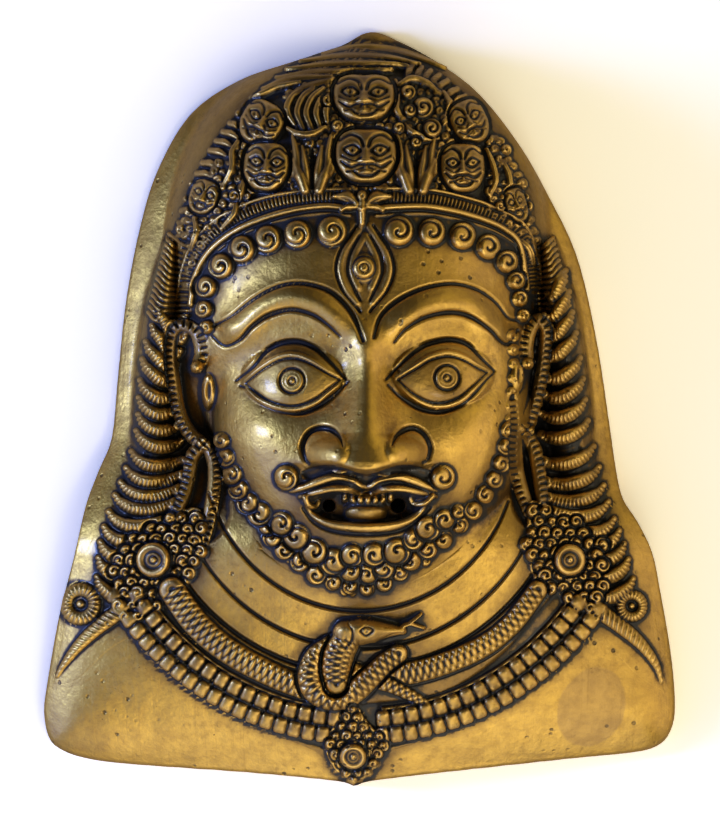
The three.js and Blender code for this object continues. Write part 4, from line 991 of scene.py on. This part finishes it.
# %% Places in space
SQUARE = 0.6           # how far ornaments turn square to the slope, 0 being straight up
KEEP = (0.999, 0.985)  # keeps the looks a hair inside the plain model's box
DOWN, RIGHTWARD = np.gradient(blur(FORM, 3), UNIT)
TILT = np.sqrt(1 + RIGHTWARD ** 2 + DOWN ** 2)
LEAN_X, LEAN_Y = -RIGHTWARD / TILT * SQUARE, -DOWN / TILT * SQUARE
SOFT = blur(CARVED, 6)
CENTRE = (RIM.min(0) + RIM.max(0)) / 2


def placed(x, y, height):
    """Metres in the part's frame for places on the sheet and heights in millimetres."""
    lean = 1 - height / DRAFT_APEX
    px = (x - MIDDLE[0]) * lean + MIDDLE[0] - CENTRE[0]
    py = (y - MIDDLE[1]) * lean + MIDDLE[1] - CENTRE[1]
    flat = UNIT * KEEP[0] / 1000
    return np.stack([px * flat, -py * flat, height * KEEP[1] / 1000], -1)


def lean_at(x, y):
    """Which way ornaments lean at places on the sheet, and the places that they lean to."""
    nx, ny = read(LEAN_X, x, y), read(LEAN_Y, x, y)
    first = read(SOFT, x, y, PER) / UNIT
    return nx, ny, (x + nx * first, y + ny * first)


def skin(x, y, relief, extra=0.0):
    """A relief on the body at places on the sheet; each reads the table where it will end."""
    nx, ny, ends = lean_at(x, y)
    c = read(relief, *ends, PER) + extra
    up = np.sqrt(1 - nx ** 2 - ny ** 2)
    return placed(x + nx * c / UNIT, y + ny * c / UNIT, read(FORM, x, y) + up * c)


# %% [markdown]
# ## Where the patina and the painted shade sit
#
# Old brass is handled and polished: what stands proud is rubbed bright and what lies low keeps a
# dark skin. So each cell compares its height with the average round it, near and far. The large
# hollows of the plain body, such as the one under the nose, are marked as well, and the finish
# darkens them as painted shade. The results go on the vertices as numbers, and the finish reads them.

# %% Recess and crowding
fine_gap = np.clip(blur(CARVED, 5) - CARVED, -2, 2)
wide_gap = np.clip(blur(CARVED, 10) - CARVED, -2.5, 2.5)
RECESS = 0.85 * fine_gap + 0.14 * wide_gap
# patina in the large hollows of the body, and painted shade there too
HOLLOW_PATINA_AND_SHADE = np.clip(0.22 * (blur(FORM, 9) - FORM), -0.3, 1) * smooth(9, 17, FORM)
CROWDED = blur(np.abs(fine_gap), 24) - 0.1 * np.clip(CARVED - blur(CARVED, 24), -2, 2.5)
print("recess from", round(float(RECESS.min()), 2), "to", round(float(RECESS.max()), 2))



# %% Numbers on the vertices
def new_skin():
    bm = bmesh.new()
    for name in ("recess", "hollow", "crowded"):
        bm.verts.layers.float.new(name)
    return bm


def shaded(bm, verts, x, y):
    """Puts the three numbers on vertices that stand at places on the sheet."""
    ends = lean_at(x, y)[2]
    # the hollow number carries patina and painted shade for the large hollows of the body
    numbers = {"recess": read(RECESS, *ends, PER), "hollow": read(HOLLOW_PATINA_AND_SHADE, x, y),
               "crowded": read(CROWDED, *ends, PER)}
    for name, values in numbers.items():
        layer = bm.verts.layers.float[name]
        for v, value in zip(verts, values):
            v[layer] = value


# %% [markdown]
# ## Sheets of fine skin
#
# One even mesh of the whole front would be either too coarse for the carving or too heavy. So the
# carved places get sheets of their own, with cells of about a third of a millimetre. Each sheet
# is a grid stretched between four edge lines. Its edges dip under their neighbours, where all
# follow the same surface, so that no joint shows. A second, coarser grid closes it underneath.

# %% Stretched grids
def span(points):
    """A curve's length."""
    return float(np.hypot(*np.diff(spline(points, 24), axis=0).T).sum())


def along(points, share):
    """Places at shares of a curve's length."""
    line = spline(points, 24)
    passed = np.concatenate([[0], np.cumsum(np.hypot(*np.diff(line, axis=0).T))])
    return np.stack([np.interp(share * passed[-1], passed, line[:, k]) for k in (0, 1)], -1)


def stretched(edges, s, t):
    """Places between four edge lines: top and bottom run with s, left and right with t."""
    top, bottom, left, right = (along(e, k) for e, k in zip(edges, (s, s, t, t)))
    s, t = s[:, None], t[:, None]
    a, b, c, d = (np.array(p, float) for p in (edges[0][0], edges[0][-1], edges[1][0], edges[1][-1]))
    flat = (1 - s) * (1 - t) * a + s * (1 - t) * b + (1 - s) * t * c + s * t * d
    return (1 - t) * top + t * bottom + (1 - s) * left + s * right - flat


# %% Mouth holes
BORES = [(329, 506, 2.15 / UNIT), (398, 506, 2.5 / UNIT)]  # place and radius


def bored(bm, place, widen):
    """Opens the round holes in a skin: faces go, and the edge left moves out onto the circle."""
    loops = []
    for x, y, r in BORES:
        r = r + widen
        near_by = {v for v, p in place.items() if (p[0] - x) ** 2 + (p[1] - y) ** 2 < r * r}
        gone = list({f for v in near_by for f in v.link_faces})
        ring = {v for f in gone for v in f.verts} - near_by
        bmesh.ops.delete(bm, geom=gone, context="FACES_ONLY")
        for v in ring:
            away = math.hypot(place[v][0] - x, place[v][1] - y) / r
            place[v] = (x + (place[v][0] - x) / away, y + (place[v][1] - y) / away)
        loops.append([e for e in {e for v in ring for e in v.link_edges} if len(e.link_faces) == 1])
    for v in [v for v in place if not v.link_faces]:
        del place[v]
    return loops


# %% From mesh to piece
PIECES = []


def finished(bm, name):
    """Closes a mesh's book: an object with smooth, outward faces that rides the body."""
    loose = [v for v in bm.verts if not v.link_faces]
    bmesh.ops.delete(bm, geom=loose, context="VERTS")
    bmesh.ops.recalc_face_normals(bm, faces=bm.faces)
    mesh = bpy.data.meshes.new(name)
    open_edges = sum(not e.is_manifold for e in bm.edges)
    bm.to_mesh(mesh)
    bm.free()
    mesh.shade_smooth()
    piece = bpy.data.objects.new(name, mesh)
    bpy.context.scene.collection.objects.link(piece)
    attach(piece, "root")
    PIECES.append(piece)
    mesh.calc_loop_triangles()
    print(name, len(mesh.loop_triangles), "triangles,", open_edges, "open edges")
    return piece


# %% Sheets
DIP, MARGIN = 0.7, 1.6  # millimetres that an edge dips, and over what width
PROUD, BACK = 0.03, 1.0  # how far a sheet stands over the form, and how far its back lies under it
COVERED = np.zeros(FORM.shape)  # 1 where a sheet has a vertex
BED = lowest(CARVED, 5)


def fine_sheet(name, edges, step, coarse=4, holes=False, middle=0):
    """A carved sheet with a coarser back; `middle` is its height where its sides don't say it."""
    bm = new_skin()
    nx = round(max(span(edges[0]), span(edges[1])) / step)
    ny = round(max(span(edges[2]), span(edges[3]), middle) / step)
    joints = []
    for share in (1, coarse):
        made = bmesh.ops.create_grid(bm, x_segments=nx // share, y_segments=ny // share,
                                     size=0.5)["verts"]
        s, t = (np.array([v.co[k] for v in made]) for k in (0, 1))
        xy = stretched(edges, s + 0.5, 0.5 - t)
        rim = np.minimum((0.5 - np.abs(s)) * nx, (0.5 - np.abs(t)) * ny) * step * UNIT
        dip = dict(zip(made, -DIP * (1 - np.clip(rim / MARGIN, 0, 1)) ** 3))
        place = dict(zip(made, xy))
        outer = [e for e in {e for v in made for e in v.link_edges} if len(e.link_faces) == 1]
        joints.append([outer, *(bored(bm, place, 0) if holes else ())])
        x, y = np.array(list(place.values())).T
        extra = np.array([dip[v] for v in place])
        if share == 1:
            COVERED[np.round(y).astype(int), np.round(x).astype(int)] = 1
            spots = skin(x, y, CARVED, extra + PROUD)
        else:
            spots = skin(x, y, BED, np.minimum(extra - BACK / 2, -BACK))
        for v, spot in zip(place, spots):
            v.co = spot
        shaded(bm, list(place), x, y)
    for upper, lower in zip(*joints):
        bmesh.ops.bridge_loops(bm, edges=upper + lower)
    return finished(bm, name)


# %% Face and crown sheets
def neck_at(rx, ry, *degrees):
    return [on_neck(rx, ry, a) for a in degrees]


fine_sheet("face_skin", (
    [(196, 292), (206, 265), (240, 235), (282, 218), (322, 211), (362, 216), (404, 211), (448, 213),
     (482, 223), (510, 243), (524, 272)],
    [(256, 540), (282, 568), (318, 590), (356, 600), (392, 592), (432, 572), (470, 540)],
    [(196, 292), (194, 330), (204, 372), (210, 420), (216, 466), (232, 506), (256, 540)],
    [(524, 272), (531, 310), (528, 370), (523, 420), (513, 460), (498, 500), (470, 540)]),
    1.30, coarse=3, holes=True, middle=384)
fine_sheet("crown_relief", (
    [(150, 292), (157, 240), (170, 186), (200, 132), (238, 90), (296, 60), (362, 42), (410, 48),
     (464, 80), (504, 124), (532, 174), (554, 228), (568, 276)],
    [(206, 318), (205, 286), (218, 262), (246, 242), (284, 226), (322, 219), (362, 226), (404, 219),
     (446, 221), (478, 231), (506, 250), (519, 272), (522, 300)],
    [(150, 292), (178, 306), (206, 318)], [(568, 276), (545, 290), (522, 300)]), 1.2, middle=188)

# %% Hair and shoulder sheets
fine_sheet("left_hair", (
    [(150, 284), (178, 280), (206, 284)], [(91, 545), (140, 556), (204, 568), (264, 550)],
    [(150, 284), (138, 340), (131, 400), (126, 442), (112, 484), (96, 526), (91, 545)],
    [(206, 284), (204, 330), (212, 372), (219, 420), (226, 466), (242, 506), (264, 550)]), 1.0)
fine_sheet("right_hair", (
    [(516, 270), (545, 262), (572, 262)], [(456, 552), (516, 568), (580, 560), (634, 545)],
    [(516, 270), (522, 310), (518, 370), (513, 424), (503, 462), (485, 506), (456, 552)],
    [(572, 262), (584, 330), (592, 390), (599, 440), (610, 484), (622, 520), (634, 545)]), 1.0)
fine_sheet("left_shoulder", (
    [(92, 532), (130, 530), (170, 512), (212, 520)], [(50, 688), (76, 682), (110, 650), (152, 628)],
    [(92, 532), (80, 560), (66, 600), (58, 640), (50, 688)],
    [(212, 520), (216, 556), (190, 596), (152, 628)]), 1.0)
fine_sheet("right_shoulder", (
    [(508, 516), (545, 498), (590, 510), (632, 532)], [(572, 630), (610, 650), (640, 680), (666, 696)],
    [(508, 516), (506, 560), (530, 596), (572, 630)],
    [(632, 532), (648, 560), (656, 604), (663, 650), (666, 696)]), 1.0)

# %% Collar sheet
INNER, OUTER = (146, 147), (303, 309)  # reach of the ovals at the collar's two edges
fine_sheet("collar_relief", (
    neck_at(*INNER, *range(-74, 73, 6)),
    neck_at(*OUTER, -62, -54, -46, -38, -30, -22, -15)
    + [(312, 752), (330, 768), (354, 780), (376, 768), (394, 752)]
    + neck_at(*OUTER, 13, 20, 28, 36, 44, 52, 59.5),
    [on_neck(*INNER, -74), (146, 540), on_neck(*OUTER, -62)],
    [on_neck(*INNER, 70), (560, 536), on_neck(*OUTER, 59.5)]), 1.1)


# %% [markdown]
# ## The casting itself
#
# The body is one spun profile, bent to the mask's outline: out from the middle of the face to the
# edge, round the rim, flat along the band it rests on, then back over the inside of the hollow.
# The inside follows the outside three and a half millimetres deeper, as poured metal does over a
# core. Under the fine sheets the body lies a little lower, so that it never shows through them.

# %% Inside of the hollow
def hollowed(table, wall):
    """The surface that stays a wall's thickness below another, as a ball of that size rolls."""
    reach = int(wall / UNIT)
    low = table - wall
    for i in range(-reach, reach + 1, 2):
        for j in range(-reach, reach + 1, 2):
            drop = wall ** 2 - (i * i + j * j) * UNIT ** 2
            if drop > 0:
                low = np.minimum(low, np.roll(table, (i, j), (0, 1)) - math.sqrt(drop))
    return low


CORE = blur(hollowed(FORM, WALL), 3)

# %% The body under the sheets
HIDDEN_DROP = 0.35  # millimetres that the body lies lower under a sheet
covered = smooth(0.8, 0.97, blur(COVERED, 8))
hidden = read(covered, *np.mgrid[0:CARVED.shape[0], 0:CARVED.shape[1]][::-1] / PER)
BODY = lowest(blur(CARVED, 1), 3) * (1 - hidden) + (BED - HIDDEN_DROP) * hidden
print("sheets hide", round(100 * float(covered.mean())), "% of the sheet")

# %% Spun body
HUB = np.array([362.0, 430.0])
STEPS, OUTWARD, INWARD = 520, 100, 36  # round the axis, over the front, over the hollow


def edge_at(angle, inset):
    """How far the outline lies from the hub in each direction, less a distance in millimetres."""
    dx, dy = (RIM - HUB).T
    order = np.argsort(np.arctan2(dy, dx))
    turn, reach = np.arctan2(dy, dx)[order], np.hypot(dx, dy)[order]
    turn = np.concatenate([turn - 2 * math.pi, turn, turn + 2 * math.pi])
    reach = np.interp(angle, turn, np.tile(reach, 3))
    if not inset:
        return reach
    tries = np.linspace(0.8, 1, 41)
    r = reach[:, None] * tries
    x, y = HUB[0] + r * np.cos(angle)[:, None], HUB[1] + r * np.sin(angle)[:, None]
    gap = nearest(x, y, RIM, closed=True)[0] * UNIT
    rows = np.arange(len(angle))
    inner = (gap > inset).sum(1) - 1
    outer = np.minimum(inner + 1, len(tries) - 1)
    a, b = gap[rows, inner], gap[rows, outer]
    start, end = r[rows, inner], r[rows, outer]
    return start + (end - start) * (a - inset) / np.maximum(a - b, 1e-6)


# %% Levels of the profile
FRONT, HOLLOW_SIDE = 0, 6
LEVELS = {  # how far in from the outline, and how high; the tables give the height of two
    FRONT: (0.0, None), 1: (0.0, 2.9), 2: (0.0, 0.6), 3: (0.5, 0.0), 4: (RIM_WIDE - 0.4, 0.0),
    5: (RIM_WIDE, 0.5), HOLLOW_SIDE: (RIM_WIDE, None)}
ROUND_RIM = range(FRONT + 1, HOLLOW_SIDE)
bm = new_skin()
profile = [(k / OUTWARD, FRONT) for k in range(OUTWARD + 1)] + [(1, level) for level in ROUND_RIM]
profile += [(1 - k / INWARD, HOLLOW_SIDE) for k in range(INWARD + 1)]
points = [bm.verts.new((r, 0, level)) for r, level in profile]
line = [bm.edges.new(pair) for pair in zip(points, points[1:])]
bmesh.ops.spin(bm, geom=points + line, axis=(0, 0, 1), angle=2 * math.pi, steps=STEPS, use_merge=True)
bmesh.ops.remove_doubles(bm, verts=bm.verts, dist=1e-5)
print("profile of", len(profile), "points spun in", STEPS, "steps")

# %% Bending it to the mask
made = list(bm.verts)
co = np.array([v.co for v in made])
level, share = np.round(co[:, 2]).astype(int), np.hypot(co[:, 0], co[:, 1])
angle = np.arctan2(co[:, 1], co[:, 0])
reach = np.zeros(len(made))
for key, (inset, _) in LEVELS.items():
    of_level = level == key
    reach[of_level] = edge_at(angle[of_level], inset)
r = reach * share
xy = HUB + np.stack([r * np.cos(angle), r * np.sin(angle)], -1)
top = {v: p for v, p, key in zip(made, xy, level) if key == FRONT}
inner = {v: p for v, p, key in zip(made, xy, level) if key == HOLLOW_SIDE}
height = np.select([level == key for key in ROUND_RIM], [LEVELS[key][1] for key in ROUND_RIM])
for v, spot in zip(made, placed(*xy.T, height)):
    v.co = spot

# %% Front, hollow and holes
for upper, lower in zip(bored(bm, top, 0.4), bored(bm, inner, 0.4)):
    bmesh.ops.bridge_loops(bm, edges=upper + lower)
x, y = np.array(list(top.values())).T
for v, spot in zip(top, skin(x, y, BODY)):
    v.co = spot
shaded(bm, list(top), x, y)
x, y = np.array(list(inner.values())).T
for v, spot in zip(inner, placed(x, y, np.maximum(read(CORE, x, y), 0.8))):
    v.co = spot
mask_body = finished(bm, "mask_body")
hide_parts("mask")


# %% [markdown]
# ## Brass, its patina and painted shade
#
# The finish is one brass with a history. Bare brass is a warm yellow metal; years of air turn it
# brown, and a dark skin stays in every low place, where no hand or cloth comes. The large hollows
# of the body are darkened further with painted shade. High places are rubbed pale and smooth. Over
# all lie faint rubbing marks, casting pits and dull smears. Each of these effects is a node group of
# its own, so that it can be tried and reused alone. A few short helpers make nodes and join them,
# which keeps the groups as short as the formulas they stand for.

# %% Node helpers
def feed(tree, socket, value):
    """Links a socket, or sets it to a constant."""
    if isinstance(value, bpy.types.NodeSocket):
        tree.links.new(value, socket)
    else:
        socket.default_value = value


def node(tree, kind, **values):
    """A node; each value is one of its settings or goes to its input of that name."""
    made = tree.nodes.new(kind)
    for key, value in values.items():
        if hasattr(made, key):
            setattr(made, key, value)
        else:
            feed(tree, made.inputs[key.replace("_", " ")], value)
    return made


def maths(tree, operation, *values):
    made = node(tree, "ShaderNodeMath", operation=operation)
    for socket, value in zip(made.inputs, values):
        feed(tree, socket, value)
    return made.outputs[0]


def piled(tree, total, *layers):
    """Adds values to a total, each with its weight."""
    for value, weight in layers:
        total = maths(tree, "MULTIPLY_ADD", value, weight, total)
    return total


def spread(tree, value, low, high, to_low=0.0, to_high=1.0):
    """A soft step from one value to another, as the input goes from low to high."""
    made = node(tree, "ShaderNodeMapRange", interpolation_type="SMOOTHSTEP")
    for socket, given in zip(made.inputs, (value, low, high, to_low, to_high)):
        feed(tree, socket, given)
    return made.outputs[0]


def mixed(tree, share, a, b, blend_type="MIX"):
    made = node(tree, "ShaderNodeMix", data_type="RGBA", blend_type=blend_type)
    for socket, given in zip((made.inputs[0], made.inputs[6], made.inputs[7]), (share, a, b)):
        feed(tree, socket, given)
    return made.outputs[2]


def noise(tree, vector, scale, detail=4.0, roughness=0.55, distortion=0.0):
    return node(tree, "ShaderNodeTexNoise", Vector=vector, Scale=scale, Detail=detail, Roughness=roughness,
                Distortion=distortion).outputs[0]


# %% Group helpers
def new_group(name, inputs, outputs):
    """An empty node group; inputs have a name, a kind and a value, and outputs are numbers."""
    tree = bpy.data.node_groups.new(name, "ShaderNodeTree")
    for key, kind, value in inputs:
        socket = tree.interface.new_socket(key, in_out="INPUT", socket_type="NodeSocket" + kind)
        if value is not None:
            socket.default_value = value
    for key in outputs:
        tree.interface.new_socket(key, in_out="OUTPUT", socket_type="NodeSocketFloat")
    return tree, tree.nodes.new("NodeGroupInput").outputs, tree.nodes.new("NodeGroupOutput").inputs


def give(tree, out, **values):
    for name, value in values.items():
        tree.links.new(value, out[name])
    print("group", tree.name, "gives", ", ".join(values))


# %% [markdown]
# ## Wear and painted shade
#
# Patina follows the shape: the numbers on the vertices say how low a place lies and how crowded
# its surroundings are, and the hollow number adds painted shade in the large hollows of the body.
# Clouds of noise make the edges of the dark skin ragged and scatter specks.

# %% Wear and painted shade group
tree, given, out = new_group(
    "WearAndShade", [("Position", "Vector", None), ("Recess", "Float", 0.0), ("Hollow", "Float", 0.0),
             ("Crowded", "Float", 0.0), ("Amount", "Float", 1.0)], ("Dark", "Brown", "Rubbed", "Stain"))
cloud, grain = (noise(tree, given["Position"], *kind) for kind in ((42.0, 6.0, 0.62), (420.0, 4.0, 0.65)))
clouded, grained = (maths(tree, "SUBTRACT", made, 0.5) for made in (cloud, grain))
# Hollow adds painted shade to the patina level, so Dark and Brown are partly painted shade
level = piled(tree, given["Recess"], (given["Crowded"], 0.45), (given["Hollow"], 0.22), (clouded, 0.42),
              (grained, 0.30))
speck = maths(tree, "MULTIPLY", spread(tree, noise(tree, given["Position"], 640.0, 3.0, 0.6), 0.64, 0.72),
              spread(tree, cloud, 0.50, 0.66))
dark = maths(tree, "MULTIPLY", spread(tree, level, 0.14, 0.40), given["Amount"])
dark = maths(tree, "MAXIMUM", dark, maths(tree, "MULTIPLY", speck, 0.8))
haze = maths(tree, "MULTIPLY", spread(tree, piled(tree, given["Crowded"], (clouded, 0.5)), 0.07, 0.34), 0.85)
# low ground: patina, with more painted shade from Hollow in the large hollows
low_ground = spread(tree, piled(tree, level, (given["Hollow"], 0.42)), 0.0, 0.32)
give(tree, out, Dark=dark, Brown=maths(tree, "MAXIMUM", haze, low_ground),
     Rubbed=spread(tree, maths(tree, "MULTIPLY", given["Recess"], -1.0), 0.12, 0.62),
     Stain=spread(tree, noise(tree, given["Position"], 16.0, 6.0, 0.62, 0.5), 0.40, 0.70))

# %% [markdown]
# ## A thumb's smudge
#
# An oval dull print lies on the right of the chest, where a thumb holds the mask. It is an oval
# distance in the part's own space with a ragged edge, so it needs no texture map.

# %% Thumb smudge group
SMUDGE_AT, SMUDGE_TURN, SMUDGE_REACH = (590, 706), -0.25, (0.0112, 0.0138)
tree, given, out = new_group("Smudge", [("Position", "Vector", None)], ("Mask",))
place = node(tree, "ShaderNodeMapping", vector_type="TEXTURE", Vector=given["Position"],
             Location=(*placed(*SMUDGE_AT, 12.0)[:2], 0.0), Rotation=(0, 0, SMUDGE_TURN),
             Scale=(*SMUDGE_REACH, 1000.0))
reach = node(tree, "ShaderNodeVectorMath", operation="LENGTH")
tree.links.new(place.outputs[0], reach.inputs[0])
ragged = piled(tree, reach.outputs["Value"], (noise(tree, given["Position"], 180.0, 4.0), 0.14))
give(tree, out, Mask=spread(tree, ragged, 1.10, 1.02))

# %% [markdown]
# ## The rubbed surface
#
# A cast and chased face is never quite flat. Broad waves are left by the wax, fine grain by the
# sand, round pits by gas, and long faint marks by cloths. Together they make a height for the
# bump, because they are far too small for the mesh.

# %% Surface group
tree, given, out = new_group(
    "RubbedSurface", [("Position", "Vector", None), ("Scratches", "Float", 1.0), ("Pits", "Float", 1.0)],
    ("Height", "Scratch", "Pit", "Mottle"))
marks = []
for turn, squash in ((0.6, (900.0, 24.0, 60.0)), (-0.9, (760.0, 20.0, 60.0))):
    drawn = node(tree, "ShaderNodeMapping", Vector=given["Position"], Rotation=(0.0, 0.0, turn), Scale=squash)
    marks.append(spread(tree, noise(tree, drawn.outputs[0], 1.0, 2.0, 0.5), 0.60, 0.74))
scratch = maths(tree, "MAXIMUM", *marks)
cells = node(tree, "ShaderNodeTexVoronoi", Vector=given["Position"], Scale=230.0, Randomness=1.0)
sparse = spread(tree, noise(tree, given["Position"], 60.0, 3.0, 0.6), 0.47, 0.62)
pit = maths(tree, "MULTIPLY", spread(tree, cells.outputs["Distance"], 0.21, 0.08), sparse)
pit = maths(tree, "MULTIPLY", pit, given["Pits"])
broad, waves, fine = (noise(tree, given["Position"], *kind)
                      for kind in ((34.0, 2.0, 0.5), (130.0, 3.0, 0.6), (620.0, 4.0, 0.7)))
height = piled(tree, maths(tree, "MULTIPLY", broad, 5.0), (waves, 1.3), (fine, 0.55),
               (scratch, maths(tree, "MULTIPLY", given["Scratches"], -0.05)), (pit, -1.2))
give(tree, out, Height=height, Scratch=scratch, Pit=pit,
     Mottle=spread(tree, noise(tree, given["Position"], 210.0, 7.0, 0.72), 0.36, 0.66))

# %% [markdown]
# ## The brass itself
#
# The material lays its colours one over another, from bare metal to pits, and each layer also
# changes how rough the metal is. Dark skin is less of a metal than brass is; the same dark layer
# also paints shade in the large hollows of the body. A thin coat over all gives the sharp soft
# glints of old wax polish.

# %% Brass material
BARE, OLD = (0.66, 0.41, 0.080, 1), (0.35, 0.208, 0.046, 1)
DULL, SMUDGED = (0.30, 0.165, 0.045, 1), (0.40, 0.25, 0.095, 1)
# brown and dark patina colours; in the large hollows of the body they also paint shade
BROWN_PATINA_AND_SHADE, PALE = (0.17, 0.095, 0.030, 1), (0.80, 0.52, 0.16, 1)
DARK_PATINA_AND_SHADE, PITTED = (0.015, 0.015, 0.017, 1), (0.05, 0.035, 0.02, 1)
SHINE, BUMP_REACH = 0.36, 0.0003


def group_node(tree, name, **values):
    made = node(tree, "ShaderNodeGroup", node_tree=bpy.data.node_groups[name])
    for key, value in values.items():
        feed(tree, made.inputs[key], value)
    return made.outputs


aged = bpy.data.materials.new("aged_brass")
aged.use_nodes = True
tree = aged.node_tree
place = node(tree, "ShaderNodeTexCoord").outputs["Object"]
# the hollow attribute brings painted shade for the large hollows, along with the patina
numbers = {key: node(tree, "ShaderNodeAttribute", attribute_name=key.lower()).outputs["Fac"]
           for key in ("Recess", "Hollow", "Crowded")}
wear = group_node(tree, "WearAndShade", Position=place, **numbers)
surface = group_node(tree, "RubbedSurface", Position=place)
smudge = group_node(tree, "Smudge", Position=place)["Mask"]
brown = maths(tree, "MULTIPLY", wear["Brown"], spread(tree, wear["Rubbed"], 0.0, 1.0, 1.0, 0.25))

# %% Colour and roughness
colour = BARE
for share, amount, tint in ((wear["Stain"], 0.55, OLD), (surface["Mottle"], 0.34, DULL),
                            (smudge, 0.5, SMUDGED), (brown, 1.0, BROWN_PATINA_AND_SHADE), (wear["Rubbed"], 0.6, PALE),
                            (wear["Dark"], 1.0, DARK_PATINA_AND_SHADE), (surface["Pit"], 0.8, PITTED)):
    colour = mixed(tree, maths(tree, "MULTIPLY", share, amount), colour, tint)
rough = piled(tree, SHINE, (wear["Stain"], 0.10), (surface["Mottle"], 0.08), (smudge, 0.10), (brown, 0.06),
              (wear["Dark"], 0.22), (wear["Rubbed"], -0.06), (surface["Scratch"], 0.06))
bump = node(tree, "ShaderNodeBump", Strength=1.0, Distance=BUMP_REACH, Height=surface["Height"])
metal = tree.nodes["Principled BSDF"].inputs
for key, value in (("Base Color", colour), ("Roughness", rough), ("Normal", bump.outputs[0]),
                   ("Metallic", spread(tree, wear["Dark"], 0.5, 1.0, 1.0, 0.55)),
                   ("Coat Weight", 0.30), ("Coat Roughness", 0.14), ("Coat IOR", 1.55)):
    feed(tree, metal[key], value)
for piece in PIECES:
    piece.data.materials.append(aged)
print("one brass on", len(PIECES), "pieces")


# %% [markdown]
# ## The table
#
# The mask lies on a plain pale table. The camera sees the table nearly white, as the photograph's
# ground is. The brass mirrors it too, and there a greyer table is right, or the mouth's holes and
# the undersides would fill with light; the light path tells the two apart.

# %% Floor
floor_mesh = bpy.data.meshes.new("floor")
bm = bmesh.new()
bmesh.ops.create_grid(bm, x_segments=1, y_segments=1, size=3.0)
bm.to_mesh(floor_mesh)
bm.free()
floor = bpy.data.objects.new("floor", floor_mesh)
bpy.context.scene.collection.objects.link(floor)
pale = bpy.data.materials.new("pale_floor")
pale.use_nodes = True
tree = pale.node_tree
MIRRORED, SEEN = (0.46, 0.41, 0.34, 1), (1.66, 1.64, 1.56, 1)
seen = node(tree, "ShaderNodeLightPath").outputs["Is Camera Ray"]
feed(tree, tree.nodes["Principled BSDF"].inputs["Base Color"], mixed(tree, seen, MIRRORED, SEEN))
feed(tree, tree.nodes["Principled BSDF"].inputs["Roughness"], 0.9)
floor_mesh.materials.append(pale)
print("floor is", floor.dimensions[:], "m")

# %% [markdown]
# ## Light
#
# Metal shows the room more than itself, so the room is drawn first: soft glows stand round the
# mask, warm ones below the chest and on the right, cool ones on the left. A small cool window at
# the left gives the sharp glints on the cheek, and a weak warm lamp at the lower right the rest.

# %% Room light
GLOWS = [  # where it stands, half width in degrees, colour
    ((0.30, -0.55, 0.78), 38, (1.62, 1.46, 1.00)),
    ((-0.30, -0.55, 0.78), 34, (0.35, 0.34, 0.34)),
    ((0.67, 0.67, 0.30), 36, (0.78, 0.66, 0.26)),
    ((1.00, -0.20, 0.16), 42, (1.55, 1.32, 0.95)),
    ((-0.96, -0.26, 0.16), 32, (0.66, 0.92, 3.00)),
    ((-0.67, -0.70, 0.30), 34, (0.35, 0.40, 0.75)),
    ((0.00, -0.97, 0.26), 34, (1.40, 1.32, 1.20))]
DIM_ROOM = (0.035, 0.032, 0.03, 1)
CORE_SHARE = 0.2  # the share of its half width where a glow has its full strength
world = bpy.data.worlds.new("studio")
world.use_nodes = True
tree = world.node_tree
facing = node(tree, "ShaderNodeTexCoord").outputs["Generated"]
room = DIM_ROOM
for towards, half_width, colour in GLOWS:
    cosine = node(tree, "ShaderNodeVectorMath", operation="DOT_PRODUCT")
    feed(tree, cosine.inputs[0], facing)
    feed(tree, cosine.inputs[1], Vector(towards).normalized())
    edge, core = (math.cos(math.radians(half_width * share)) for share in (1, CORE_SHARE))
    room = mixed(tree, spread(tree, cosine.outputs["Value"], edge, core), room, (*colour, 1), "ADD")
tree.links.new(room, tree.nodes["Background"].inputs[0])
bpy.context.scene.world = world
bpy.context.scene.view_settings.view_transform = "Standard"
print(len(GLOWS), "soft glows light the room")


# %% Lamps
def window_light(name, place, size, watts, colour):
    """An area lamp that faces the middle of the table."""
    lamp = bpy.data.lights.new(name, "AREA")
    lamp.shape, lamp.size, lamp.size_y = "RECTANGLE", *size
    lamp.energy, lamp.color = watts, colour
    lamp_object = bpy.data.objects.new(name, lamp)
    lamp_object.location = place
    lamp_object.rotation_euler = (-Vector(place)).to_track_quat("-Z", "Y").to_euler()
    bpy.context.scene.collection.objects.link(lamp_object)
    print(name, "gives", watts, "W")


window_light("window", (-0.95, 0.04, 0.38), (0.20, 0.30), 4.3, (0.48, 0.70, 1.65))
window_light("lamp", (0.45, -0.45, 1.0), (0.25, 0.25), 1.0, (1.0, 0.93, 0.80))

# %% [markdown]
# ## Camera
#
# The photograph was taken from in front, so the camera looks straight down from the point that
# the sheet's sides lean to, over the middle of the photograph.

# %% Camera
SENSOR = 36.0
PHOTO_MIDDLE, PHOTO_TALL = (360, 411.5), 823
camera_data = bpy.data.cameras.new("camera")
camera_data.lens = SENSOR * DRAFT_APEX * KEEP[1] / (PHOTO_TALL * UNIT * KEEP[0])
camera_data.sensor_width = camera_data.sensor_height = SENSOR
camera = bpy.data.objects.new("camera", camera_data)
flat = UNIT * KEEP[0] / 1000
camera.location = ((PHOTO_MIDDLE[0] - CENTRE[0]) * flat, -(PHOTO_MIDDLE[1] - CENTRE[1]) * flat,
                   DRAFT_APEX / 1000 * KEEP[1])
bpy.context.scene.collection.objects.link(camera)
bpy.context.scene.camera = camera
print("camera", round(camera.location.z, 3), "m over the table")
